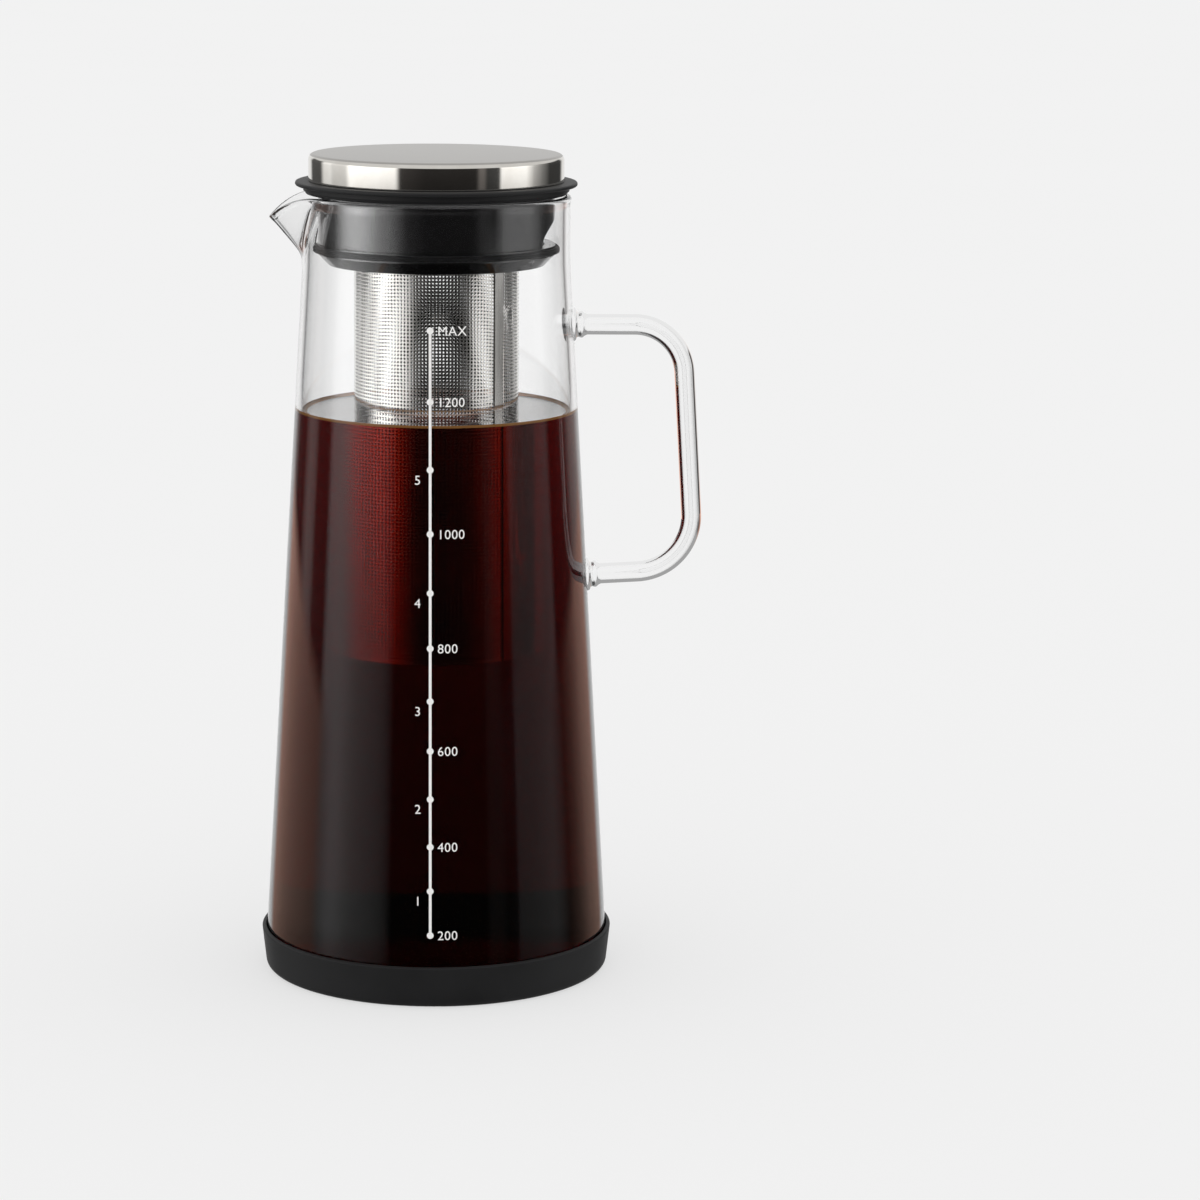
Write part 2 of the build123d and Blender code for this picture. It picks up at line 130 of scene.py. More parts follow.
class CoffeeSettings(bpy.types.PropertyGroup):
    """Level and strength of the brew."""

    level: length("Level", "Height of the surface above the table", 171.0)
    meniscus: length("Meniscus", "How far the brew climbs the glass", 1.0)
    overlap: length("Overlap", "How far the brew's mesh reaches into the glass", 0.12)
    strength: bpy.props.FloatProperty(
        name="Strength", description="Absorption of the brew per metre", default=175.0, min=0.0,
    )


class ScaleSettings(bpy.types.PropertyGroup):
    """Sizes of the printed volume scale."""

    offset: length("Offset", "From the middle of the front to the line, to the left", 1.85)
    line: length("Line width", "Width of the upright line", 0.8)
    dot: length("Dot radius", "Radius of a mark", 1.0)
    text: length("Figure height", "Height of the figures", 3.85)
    film: length("Film", "Thickness of the print", 0.04)


class FilterSettings(bpy.types.PropertyGroup):
    """Perforation of the filter tube."""

    pitch: length("Hole pitch", "Distance between the holes' centres", 1.06)
    hole: length("Hole radius", "Radius of one hole", 0.36)
    margin: length("Plain margin", "Plain sheet at the tube's ends", 1.2)


class CapSettings(bpy.types.PropertyGroup):
    """Sizes of the pressed steel cap."""

    edge: length("Edge", "Radius of the upper edge", 1.8)
    sheet: length("Sheet", "Thickness of the steel", 0.7)
    hem: length("Hem", "Radius of the lower edge", 0.3)


class FlangeSettings(bpy.types.PropertyGroup):
    """Sizes of the lid's moulding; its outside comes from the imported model."""

    edge: length("Edge", "Thickness at the thin outer edge", 1.3)
    step: length("Step", "Radius of the thicker ring that holds the gasket", 39.5)
    boss: length("Boss", "Outside radius of the ring that carries the cap", 33.4)
    boss_rise: length("Boss height", "How far that ring stands up", 4.2)
    boss_wall: length("Boss wall", "Thickness of that ring", 1.8)
    deck: length("Deck", "Thickness of the disc over the plug", 1.6)
    ring: length("Neck ring", "Outside radius of the ring that the plug is pressed on", 33.15)
    ring_drop: length("Neck ring length", "How far that ring reaches down", 1.2)
    ring_wall: length("Neck ring wall", "Thickness of that ring", 1.5)
    groove_in: length("Groove, inside", "Inner radius of the gasket's groove", 35.8)
    groove_out: length("Groove, outside", "Outer radius of the gasket's groove", 39.0)
    groove: length("Groove depth", "Depth of that groove", 0.8)


class StageSettings(bpy.types.PropertyGroup):
    """Floor, light and camera."""

    focal: bpy.props.FloatProperty(
        name="Focal length", description="In millimetres, on a sensor of 36 mm", default=120.3,
    )
    distance: length("Camera distance", "From the camera to the carafe's axis, level", 1193)
    height: length("Camera height", "Above the floor", 342.9)
    pitch: angle("Camera pitch", "Below the horizon", 10.91)
    roll: angle("Camera roll", "How far the camera leans", 0.45)
    pan: length("Pan", "How far the axis stands to the left of the frame's middle", 48.64)
    backdrop: bpy.props.FloatVectorProperty(
        name="Backdrop", description="Colour of the floor and the backdrop", subtype="COLOR",
        size=3, default=(0.888, 0.888, 0.888),
    )


SETTINGS = {
    "maker_carafe": CarafeSettings,
    "maker_handle": HandleSettings,
    "maker_coffee": CoffeeSettings,
    "maker_scale": ScaleSettings,
    "maker_filter": FilterSettings,
    "maker_cap": CapSettings,
    "maker_flange": FlangeSettings,
    "maker_stage": StageSettings,
}


# ---------------------------------------------------------------- colours and nodes


def linear(code):
    """An sRGB hex code such as "C8C8C8" as a linear colour with alpha."""
    channels = []
    for start in (0, 2, 4):
        value = int(code[start:start + 2], 16) / 255
        channels.append(value / 12.92 if value <= 0.04045 else ((value + 0.055) / 1.055) ** 2.4)
    return (*channels, 1.0)


def new_material(name):
    """An empty node material and its tree."""
    material = bpy.data.materials.new(name)
    material.use_nodes = True
    material.node_tree.nodes.clear()
    return material, material.node_tree


def add(tree, kind, sockets=None, stops=(), **settings):
    """Adds a node.

    The sockets are inputs by name or number, each with its value or what it is linked to: an output, or a
    node for its first one. The stops are the (position, colour) pairs of a colour ramp. The settings are
    the node's own, or values of inputs, with an underscore for each space in the name.
    """
    node = tree.nodes.new(kind)
    for name, value in settings.items():
        if name in node.bl_rna.properties:
            setattr(node, name, value)
        else:
            node.inputs[name.replace("_", " ")].default_value = value
    for socket, value in (sockets or {}).items():
        if isinstance(value, bpy.types.Node):
            value = value.outputs[0]
        if isinstance(value, bpy.types.NodeSocket):
            tree.links.new(value, node.inputs[socket])
        else:
            node.inputs[socket].default_value = value
    if stops:
        elements = node.color_ramp.elements
        for element, (position, colour) in zip(elements, stops):
            element.position, element.color = position, colour
        for position, colour in stops[len(elements):]:
            elements.new(position).color = colour
    return node


# ---------------------------------------------------------------- materials

GLASS_INDEX = 1.473  # borosilicate
WATER_INDEX = 1.333
OIL_INDEX = 1.47
OIL_FILM = 0.55  # how much of the open brew the beans' oil covers
BLASTED_GRAIN = 2500.0  # the mould's grain is about 0.15 mm; drawn at 0.4 mm, the finest that shows


def borosilicate_glass(name="borosilicate_glass_blown", index=GLASS_INDEX, joints=()):
    """Blown borosilicate: clear, and its wall swells a little over centimetres, which bends reflections.

    Inside each joint, a (height, radius) on the handle's side, the glass is fused and has no boundary.
    """
    material, tree = new_material(name)
    place = add(tree, "ShaderNodeTexCoord")
    swell = add(tree, "ShaderNodeTexNoise", {"Vector": place.outputs["Object"]}, Scale=30.0, Detail=1.0)
    bump = add(tree, "ShaderNodeBump", {"Height": swell}, Strength=0.05, Distance=0.3 * MM)
    # its reflections are held to two thirds, as a clean thin wall shows them
    shader = add(
        tree, "ShaderNodeBsdfPrincipled", {"Normal": bump},
        Base_Color=linear("FFFFFF"), Roughness=0.0, IOR=index, Transmission_Weight=1.0,
        Specular_Tint=linear("D4D4D4"),
    )
    add(tree, "ShaderNodeOutputMaterial", {"Surface": shader})
    if not joints:
        return material
    axes = add(tree, "ShaderNodeSeparateXYZ", {"Vector": place.outputs["Object"]})
    side_on = add(tree, "ShaderNodeCombineXYZ", {"Y": axes.outputs["Y"], "Z": axes.outputs["Z"]})
    spout_side = add(tree, "ShaderNodeMath", {0: axes.outputs["X"], 1: 0.0}, operation="LESS_THAN")
    bare = 1.0
    for height, radius in joints:
        away = add(tree, "ShaderNodeVectorMath", {0: side_on, 1: (0.0, 0.0, height)}, operation="DISTANCE")
        past = add(tree, "ShaderNodeMath", {0: away.outputs["Value"], 1: radius}, operation="GREATER_THAN")
        bare = add(tree, "ShaderNodeMath", {0: bare, 1: past}, operation="MULTIPLY")
    wall = add(tree, "ShaderNodeMath", {0: bare, 1: spout_side}, operation="MAXIMUM")
    step = add(tree, "ShaderNodeMapRange", {"Value": wall}, To_Min=1.0, To_Max=index)
    tree.links.new(step.outputs[0], shader.inputs["IOR"])
    return material


def fused_glass():
    """The end of the handle where it has melted into the wall: no boundary is left there."""
    return borosilicate_glass("borosilicate_glass_fused", 1.0)


def wetted_glass():
    """The same wall where the brew wets it: hardly any step in index, so hardly any reflection."""
    return borosilicate_glass("borosilicate_glass_wetted", GLASS_INDEX / WATER_INDEX)


def cold_brew(strength, level, name="cold_brew_filtered", cloud="B4583A", share=0.004):
    """Filtered cold brew: black in depth, red brown where light has only a few centimetres to cross.

    The finest grounds pass the filter. They are the cloud, of which a share shows at the surface.
    """
    material, tree = new_material(name)
    place = add(tree, "ShaderNodeTexCoord")
    # the surface stands almost still, with a slow unevenness of a few centimetres
    still = add(tree, "ShaderNodeTexNoise", {"Vector": place.outputs["Object"]}, Scale=40.0, Detail=1.0)
    bump = add(tree, "ShaderNodeBump", {"Height": still}, Strength=0.04, Distance=0.2 * MM)
    # only the open surface has water's index; on the glass the wetted wall holds the whole step
    axes = add(tree, "ShaderNodeSeparateXYZ", {"Vector": place.outputs["Object"]})
    high = add(tree, "ShaderNodeMath", {0: axes.outputs["Z"], 1: level - MM}, operation="GREATER_THAN")
    normal = add(tree, "ShaderNodeSeparateXYZ", {"Vector": place.outputs["Normal"]})
    upright = add(tree, "ShaderNodeMath", {0: normal.outputs["Z"]}, operation="ABSOLUTE")
    flat = add(tree, "ShaderNodeMath", {0: upright, 1: 0.5}, operation="GREATER_THAN")
    top = add(tree, "ShaderNodeMath", {0: high, 1: flat}, operation="MULTIPLY")
    index = add(tree, "ShaderNodeMapRange", {"Value": top}, To_Min=1.0, To_Max=WATER_INDEX)
    # a film of the beans' oil lies on the open surface and makes it more of a mirror
    film = add(tree, "ShaderNodeMapRange", {"Value": top}, To_Min=0.0, To_Max=OIL_FILM)
    # the brew is tinted darker towards the bottom
    depth = add(tree, "ShaderNodeMapRange", {"Value": axes.outputs["Z"]}, From_Min=0.0, From_Max=level)
    tint = add(
        tree, "ShaderNodeValToRGB", {"Fac": depth},
        stops=((0.42, linear("CCCACA")), (0.85, linear("FFFFFF"))),
    )
    clear = add(
        tree, "ShaderNodeBsdfPrincipled",
        {
            "Base Color": tint, "Normal": bump, "IOR": index,
            "Coat Weight": film, "Coat Normal": bump,
        },
        Roughness=0.0, IOR=WATER_INDEX, Transmission_Weight=1.0, Coat_Roughness=0.0, Coat_IOR=OIL_INDEX,
        Sheen_Weight=0.06, Sheen_Roughness=0.3, Sheen_Tint=linear("C8662E"),
    )
    fines = add(tree, "ShaderNodeBsdfDiffuse", Color=linear(cloud))
    shader = add(tree, "ShaderNodeMixShader", {1: clear, 2: fines}, Fac=share)
    volume = add(tree, "ShaderNodeVolumeAbsorption", Color=linear("DC7C0A"), Density=strength)
    add(tree, "ShaderNodeOutputMaterial", {"Surface": shader, "Volume": volume})
    return material


def brew_film(strength, level):
    """The thin edge of the brew that climbs the glass: so thin that it glows amber."""
    return cold_brew(strength, level, "cold_brew_film", "C08A50", 0.6)


def ring_distance(tree):
    """Adds nodes for the distance from the upright axis, along which turned and brushed lines lie."""
    place = add(tree, "ShaderNodeTexCoord")
    level = add(
        tree, "ShaderNodeVectorMath", {0: place.outputs["Object"], 1: (1.0, 1.0, 0.0)},
        operation="MULTIPLY",
    )
    radius = add(tree, "ShaderNodeVectorMath", {0: level}, operation="LENGTH")
    return add(tree, "ShaderNodeCombineXYZ", {"X": radius.outputs["Value"]})


def uneven(tree, scale, detail, tones, roughness, along=None, **values):
    """Adds a surface whose tone and roughness wander together over one noise.

    The noise lies as the piece does, or along a node's vector. The tones are (position, hex code) pairs,
    the roughness is at the noise's least and most, and the values are those of the shader's sockets.
    Returns the noise, the tone and the shader.
    """
    along = along or add(tree, "ShaderNodeTexCoord").outputs["Object"]
    noise = add(tree, "ShaderNodeTexNoise", {"Vector": along}, Scale=scale, Detail=detail)
    stops = [(position, linear(code)) for position, code in tones]
    tone = add(tree, "ShaderNodeValToRGB", {"Fac": noise}, stops)
    rough = add(tree, "ShaderNodeMapRange", {"Value": noise}, To_Min=roughness[0], To_Max=roughness[1])
    shader = add(tree, "ShaderNodeBsdfPrincipled", {"Base Color": tone, "Roughness": rough}, **values)
    add(tree, "ShaderNodeOutputMaterial", {"Surface": shader})
    return noise, tone, shader


def blasted_grain(tree, shader, strength):
    """Adds the grain that a blasted mould leaves on a surface."""
    place = add(tree, "ShaderNodeTexCoord")
    grain = add(
        tree, "ShaderNodeTexNoise", {"Vector": place.outputs["Object"]}, Scale=BLASTED_GRAIN, Detail=3.0,
    )
    bump = add(tree, "ShaderNodeBump", {"Height": grain}, Strength=strength, Distance=0.03 * MM)
    tree.links.new(bump.outputs["Normal"], shader.inputs["Normal"])


def brushed_steel_painted_shade():
    """18/8 stainless, spun and brushed: fine rings round the middle that draw the light out across them."""
    material, tree = new_material("stainless_steel_brushed_painted_shade")
    # the tone is darker than the polished side's: painted shade on the cap's top; the brushing itself is
    # real
    # grit 240 scratches lie about 0.06 mm apart; drawn 0.3 mm apart, the finest that shows
    fine, _, shader = uneven(
        tree, scale=3300.0, detail=3.0, tones=((0.3, "A5A29E"), (0.7, "B5B3AF")), roughness=(0.26, 0.38),
        along=ring_distance(tree), Metallic=1.0,
    )
    bump = add(tree, "ShaderNodeBump", {"Height": fine}, Strength=0.12, Distance=0.02 * MM)
    tree.links.new(bump.outputs["Normal"], shader.inputs["Normal"])
    return material


def polished_steel():
    """18/8 stainless, polished: a mirror with a faint haze left by the mop."""
    material, tree = new_material("stainless_steel_polished")
    uneven(
        tree, scale=160.0, detail=3.0, tones=((0.3, "D6D2CB"), (0.7, "DEDBD5")), roughness=(0.05, 0.09),
        Metallic=1.0,
    )
    return material


def rolled_steel():
    """304 stainless sheet as rolled: satin, with mill lines that run up the tube, and painted shade on its
    inside.
    """
    material, tree = new_material("stainless_sheet_rolled")
    place = add(tree, "ShaderNodeTexCoord")
    drawn = add(tree, "ShaderNodeMapping", {"Vector": place.outputs["Object"]}, Scale=(1.0, 1.0, 0.04))
    # mill lines lie about 0.4 mm apart
    _, tone, shader = uneven(
        tree, scale=2500.0, detail=2.0, tones=((0.25, "E4E1DC"), (0.75, "F2F0EC")), roughness=(0.06, 0.12),
        along=drawn, Metallic=1.0,
    )
    # inside, the sheet is painted much darker as the shade within the tube, so that each hole shows
    side = add(tree, "ShaderNodeNewGeometry")
    painted_shade_inside = add(
        tree, "ShaderNodeMix", {0: side.outputs["Backfacing"], 6: tone, 7: linear("2C2722")},
        data_type="RGBA",
    )
    tree.links.new(painted_shade_inside.outputs[2], shader.inputs["Base Color"])
    return material


def moulded_plastic():
    """Polypropylene from a polished mould: deep black and glossy, with a trace of flow in the gloss."""
    material, tree = new_material("polypropylene_moulded_black")
    # the index is above polypropylene's 1.49, because the skin off a polished mould mirrors more
    uneven(
        tree, scale=90.0, detail=2.0, tones=((0.3, "040405"), (0.7, "070708")), roughness=(0.04, 0.07),
        IOR=2.2,
    )
    return material


def blasted_plastic():
    """The same polypropylene from a blasted mould: matte, as grips and flanges are left."""
    material, tree = new_material("polypropylene_moulded_matte")
    shader = uneven(
        tree, scale=60.0, detail=3.0, tones=((0.3, "141415"), (0.7, "1A1A1B")), roughness=(0.46, 0.56),
        IOR=1.49, Specular_IOR_Level=0.35,
    )[2]
    blasted_grain(tree, shader, 0.15)
    return material


def moulded_silicone():
    """Silicone rubber from a blasted mould: matte, with a dry bloom that lightens it at a slant."""
    material, tree = new_material("silicone_rubber_moulded_black")
    shader = uneven(
        tree, scale=60.0, detail=3.0, tones=((0.3, "151516"), (0.7, "1C1C1D")), roughness=(0.5, 0.62),
        IOR=1.41, Specular_IOR_Level=0.3, Sheen_Weight=0.04, Sheen_Roughness=0.5,
    )[2]
    blasted_grain(tree, shader, 0.2)
    return material


def printed_enamel():
    """White ceramic enamel, screen printed and fired on the glass: opaque and slightly chalky."""
    material, tree = new_material("ceramic_enamel_printed_white")
    uneven(
        tree, scale=1800.0, detail=2.0, tones=((0.3, "E9E8E5"), (0.7, "F7F6F4")), roughness=(0.4, 0.55),
    )
    return material


made = {}


def finish(function, *settings):
    """The material that a function makes, made once and shared."""
    if function not in made:
        made[function] = function(*settings)
    return made[function]


def dress(piece, *materials):
    """Gives a piece these materials in place of its own."""
    piece.data.materials.clear()
    for material in materials:
        piece.data.materials.append(material)


# ---------------------------------------------------------------- meshes


def mesh_piece(name, points, faces, sharp=SHARP):
    """A smooth-shaded piece, sharp where its faces turn by more than the angle."""
    mesh = bpy.data.meshes.new(name)
    mesh.from_pydata([tuple(point) for point in points], [], faces)
    mesh.validate()
    mesh.shade_smooth()
    mesh.set_sharp_from_angle(angle=sharp)
    piece = bpy.data.objects.new(name, mesh)
    bpy.context.scene.collection.objects.link(piece)
    return piece


def rounded(corners, steps=8):
    """An outline from (x, y, radius) corners, each turned with an arc of its radius."""
    outline = []
    for index, (x, y, radius) in enumerate(corners):
        corner = Vector((x, y))
        if radius == 0:
            outline.append(corner)
            continue
        before = (Vector(corners[index - 1][:2]) - corner).normalized()
        after = (Vector(corners[(index + 1) % len(corners)][:2]) - corner).normalized()
        half = before.angle(after) / 2
        middle = corner + (before + after).normalized() * radius / math.sin(half)
        start = corner + before * radius / math.tan(half) - middle
        stop = corner + after * radius / math.tan(half) - middle
        turn = math.atan2(start.x * stop.y - start.y * stop.x, start.dot(stop))
        for step in range(steps + 1):
            outline.append(middle + Matrix.Rotation(turn * step / steps, 2) @ start)
    return outline


def ring_faces(rings):
    """Faces between neighbouring rings of point numbers, where a ring of one point is a pole."""
    faces = []
    for lower, upper in zip(rings, rings[1:]):
        count = max(len(lower), len(upper))
        for k in range(count):
            n = (k + 1) % count
            if len(lower) == 1:
                faces.append((lower[0], upper[n], upper[k]))
            elif len(upper) == 1:
                faces.append((lower[k], lower[n], upper[0]))
            else:
                faces.append((lower[k], lower[n], upper[n], upper[k]))
    return faces


def turned(name, sections, sharp=SHARP, start=0.0):
    """Turns a piece from its sections round the upright axis, which follow each other from a start.

    A section is a row of (radius, height), outside first from below to above, from pole to pole.
    """
    points, rings = [], []
    for row, (first_radius, first_height) in enumerate(sections[0]):
        if first_radius < TINY:
            rings.append([len(points)])
            points.append((0, 0, first_height))
            continue
        rings.append(range(len(points), len(points) + len(sections)))
        for step, section in enumerate(sections):
            around = start + 2 * math.pi * step / len(sections)
            radius, height = section[row]
            points.append((radius * math.cos(around), radius * math.sin(around), height))
    return mesh_piece(name, points, ring_faces(rings), sharp)


def swept(name, path, radii, steps=48):
    """A round bar along a path in the XZ plane, with a radius at each of its points and closed ends."""
    points, rings = [], []
    for index, (point, radius) in enumerate(zip(path, radii)):
        before, after = path[max(index - 1, 0)], path[min(index + 1, len(path) - 1)]
        along = (after - before).normalized()
        across = Vector((-along.y, along.x))
        if radius == 0:
            rings.append([len(points)])
            points.append((point.x, 0, point.y))
            continue
        rings.append(range(len(points), len(points) + steps))
        for step in range(steps):
            turn = 2 * math.pi * step / steps
            offset = across * radius * math.cos(turn)
            points.append((point.x + offset.x, radius * math.sin(turn), point.y + offset.y))
    return mesh_piece(name, points, ring_faces(rings))


# ---------------------------------------------------------------- the carafe's form

ROOT_HALF = math.radians(10)  # the spout's half angle at its root
NOSE = 0.1  # share of the half angle over which the nose is rounded
ROOT_BLEND = 1.4 * MM  # over which the spout's underside leaves the neck
ROOT_DEPTH = 7 * MM  # how far below its root the spout's form begins
ROOT_EASE = 4 * MM  # over which it comes in from there
FLANK_POWER = 1.7  # a straight flank, seen from the axis
LIP_POWER = 2.6  # how late the lip falls on its way to the tip
LIP_ROUNDS = 30  # of halving, to find where the rim meets the lip's curve
BEAD_HEIGHT = 2.2 * MM  # over which the rim swells

# points of the carafe's section
PUNT_STEPS = 8
HEEL_STEPS = 12
CONE_STEPS = 19
SPOUT_STEPS = 34
RIM_STEPS = 12
DRY_STEPS = 6
WET_STEPS = 14


def cone_radius(settings, height):
    """Outside radius of the glass at a height, without the spout: a cone that turns into the neck."""
    slope = (settings.foot - settings.neck) / (settings.shoulder - glass_low.z)
    turn = settings.shoulder_bend * math.tan(math.atan(slope) / 2)
    below = settings.shoulder - height
    if below >= turn:
        return settings.neck + slope * below
    if below <= -turn:
        return settings.neck
    return settings.neck + (below + turn) ** 2 / (2 * settings.shoulder_bend)


def wall_radius(settings, inset, around, height):
    """Radius of the glass, less an inset, at an angle from the spout's middle and at a height."""
    plain = cone_radius(settings, height) - inset
    above = height - settings.spout_root
    if above < -ROOT_DEPTH:
        return plain
    climb = min(max(above / (glass_high.z - settings.spout_root), 0), 1)
    half = ROOT_HALF + (settings.spout_half - ROOT_HALF) * climb
    share = math.hypot(around / half, NOSE)
    if share >= 1:
        return plain
    slope = (settings.spout_reach - settings.neck) / (settings.spout_tip - settings.spout_root)
    reach = (above * slope + math.hypot(above * slope, ROOT_BLEND)) / 2
    reach *= min(1, (above + ROOT_DEPTH) / ROOT_EASE)
    return plain + reach * ((1 - share) / (1 - NOSE)) ** FLANK_POWER


def lip_height(settings, around):
    """Height of the rim at an angle from the spout's middle: level, then falling to the tip."""
    fall = glass_high.z - settings.spout_tip
    span = settings.spout_reach - settings.spout_lip
    height = glass_high.z
    for _ in range(LIP_ROUNDS):
        reach = wall_radius(settings, 0, around, height) * math.cos(around)
        drop = fall * (max(reach - settings.spout_lip, 0) / span) ** LIP_POWER
        height = (height + glass_high.z - drop) / 2
    return height


def floor_section(settings, floor, heel, inset):
    """Section of the hollowed floor from its middle outwards, and up the heel at an inset."""
    section = []
    for step in range(PUNT_STEPS + 1):
        share = step / PUNT_STEPS
        section.append((settings.punt * share, floor + settings.punt_rise * (1 - share * share)))
    middle = cone_radius(settings, floor + heel) - inset - heel
    for step in range(HEEL_STEPS + 1):
        turn = math.pi / 2 * step / HEEL_STEPS
        section.append((middle + heel * math.sin(turn), floor + heel * (1 - math.cos(turn))))
    return section


def carafe_section(settings, brew_edge, around):
    """The glass's section at an angle from the spout: from under the foot, up, over the rim and in.

    Returns its (radius, height) points, with the same count at every angle. One of those inside is the
    brew's edge on the glass.
    """
    wall = settings.wall
    section = floor_section(settings, glass_low.z, settings.heel, 0)
    # up the outside
    start = settings.spout_root - ROOT_DEPTH - MM
    bottom = glass_low.z + settings.heel
    for step in range(1, CONE_STEPS + 1):
        height = bottom + (start - bottom) * step / CONE_STEPS
        section.append((cone_radius(settings, height), height))
    top = lip_height(settings, around)
    half = (wall_radius(settings, 0, around, top) - wall_radius(settings, wall, around, top)) / 2
    rim = top - half
    heights = [start + (rim - start) * step / SPOUT_STEPS for step in range(SPOUT_STEPS + 1)]
    for height in heights[1:]:
        swell = max(0, 1 - (rim - height) / BEAD_HEIGHT)
        swell = settings.bead * swell * swell * (3 - 2 * swell)
        section.append((wall_radius(settings, 0, around, height) + swell, height))
    # over the rim
    outer = section[-1][0]
    inner = wall_radius(settings, wall, around, rim)
    middle, reach = (outer + inner) / 2, (outer - inner) / 2
    for step in range(1, RIM_STEPS):
        turn = math.pi * step / RIM_STEPS
        section.append((middle + reach * math.cos(turn), rim + half * math.sin(turn)))
    # down the inside
    for height in reversed(heights):
        section.append((wall_radius(settings, wall, around, height), height))
    floor = glass_low.z + settings.base
    heel = settings.heel - wall
    bottom = floor + heel
    dry = [start + (brew_edge - start) * step / DRY_STEPS for step in range(1, DRY_STEPS + 1)]
    wet = [brew_edge + (bottom - brew_edge) * step / WET_STEPS for step in range(1, WET_STEPS)]
    for height in dry + wet:
        section.append((cone_radius(settings, height) - wall, height))
    return section + floor_section(settings, floor, heel, wall)[::-1]


# ---------------------------------------------------------------- operators


class MAKER_OT_boot(bpy.types.Operator):
    """Finish the silicone boot"""

    bl_idname = "maker.boot"
    bl_label = "Boot"

    def execute(self, context):
        dress(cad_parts["base_boot"], finish(moulded_silicone))
        return {"FINISHED"}


class MAKER_OT_carafe(bpy.types.Operator):
    """Blow the glass body with its spout, foot and fire-polished rim"""

    bl_idname = "maker.carafe"
    bl_label = "Carafe"

    def execute(self, context):
        settings = context.scene.maker_carafe
        handle = context.scene.maker_handle
        brew = context.scene.maker_coffee
        brew_edge = brew.level + brew.meniscus
        sections = []
        for step in range(GLASS_STEPS):
            around = math.remainder(2 * math.pi * step / GLASS_STEPS, 2 * math.pi)
            sections.append(carafe_section(settings, brew_edge, around))
        carafe = turned("carafe_glass", sections, SOFT, start=math.pi)
        joints = ((handle.top, handle.gob), (handle.foot, handle.gob))
        dress(carafe, borosilicate_glass("borosilicate_glass_carafe", joints=joints), finish(wetted_glass))
        for face in carafe.data.polygons:
            high = max(carafe.data.vertices[v].co.z for v in face.vertices)
            radius = math.hypot(face.center.x, face.center.y)
            inside = radius < cone_radius(settings, face.center.z) - settings.wall / 2
            hollow = settings.punt_rise * max(1 - (radius / settings.punt) ** 2, 0)
            over_floor = face.center.z > glass_low.z + settings.base / 2 + hollow
            if high < brew_edge + TINY and inside and over_floor:
                face.material_index = 1
        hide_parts("glass_carafe")
        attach(carafe, "carafe")
        return {"FINISHED"}


# the melted end of the rod: shares of the gob's length, and of its height over the rod
GOB = (
    (0, 1), (0.1, 1), (0.19, 0.86), (0.27, 0.5), (0.35, 0.36), (0.46, 0.44), (0.58, 0.5), (0.68, 0.44),
    (0.78, 0.24), (0.9, 0.08), (1, 0),
)
GOB_STEPS = 22
BEND_STEPS = 28
SEAT = 0.02 * MM  # how far the rod's end stands off the wall
SEAT_REACH = 6 * MM  # how far out the rod follows the wall's roundness
FUSED = 0.3 * MM  # how near the wall a face of the rod's end has melted into it
STEEP = 0.8  # the least share of a normal along X, by which a face looks at the wall
BORE_START = 9 * MM  # from the wall to the bore's end
BORE_ENDS = (0.15, 3)  # the bore's share of its radius at its ends, and the points over which it opens


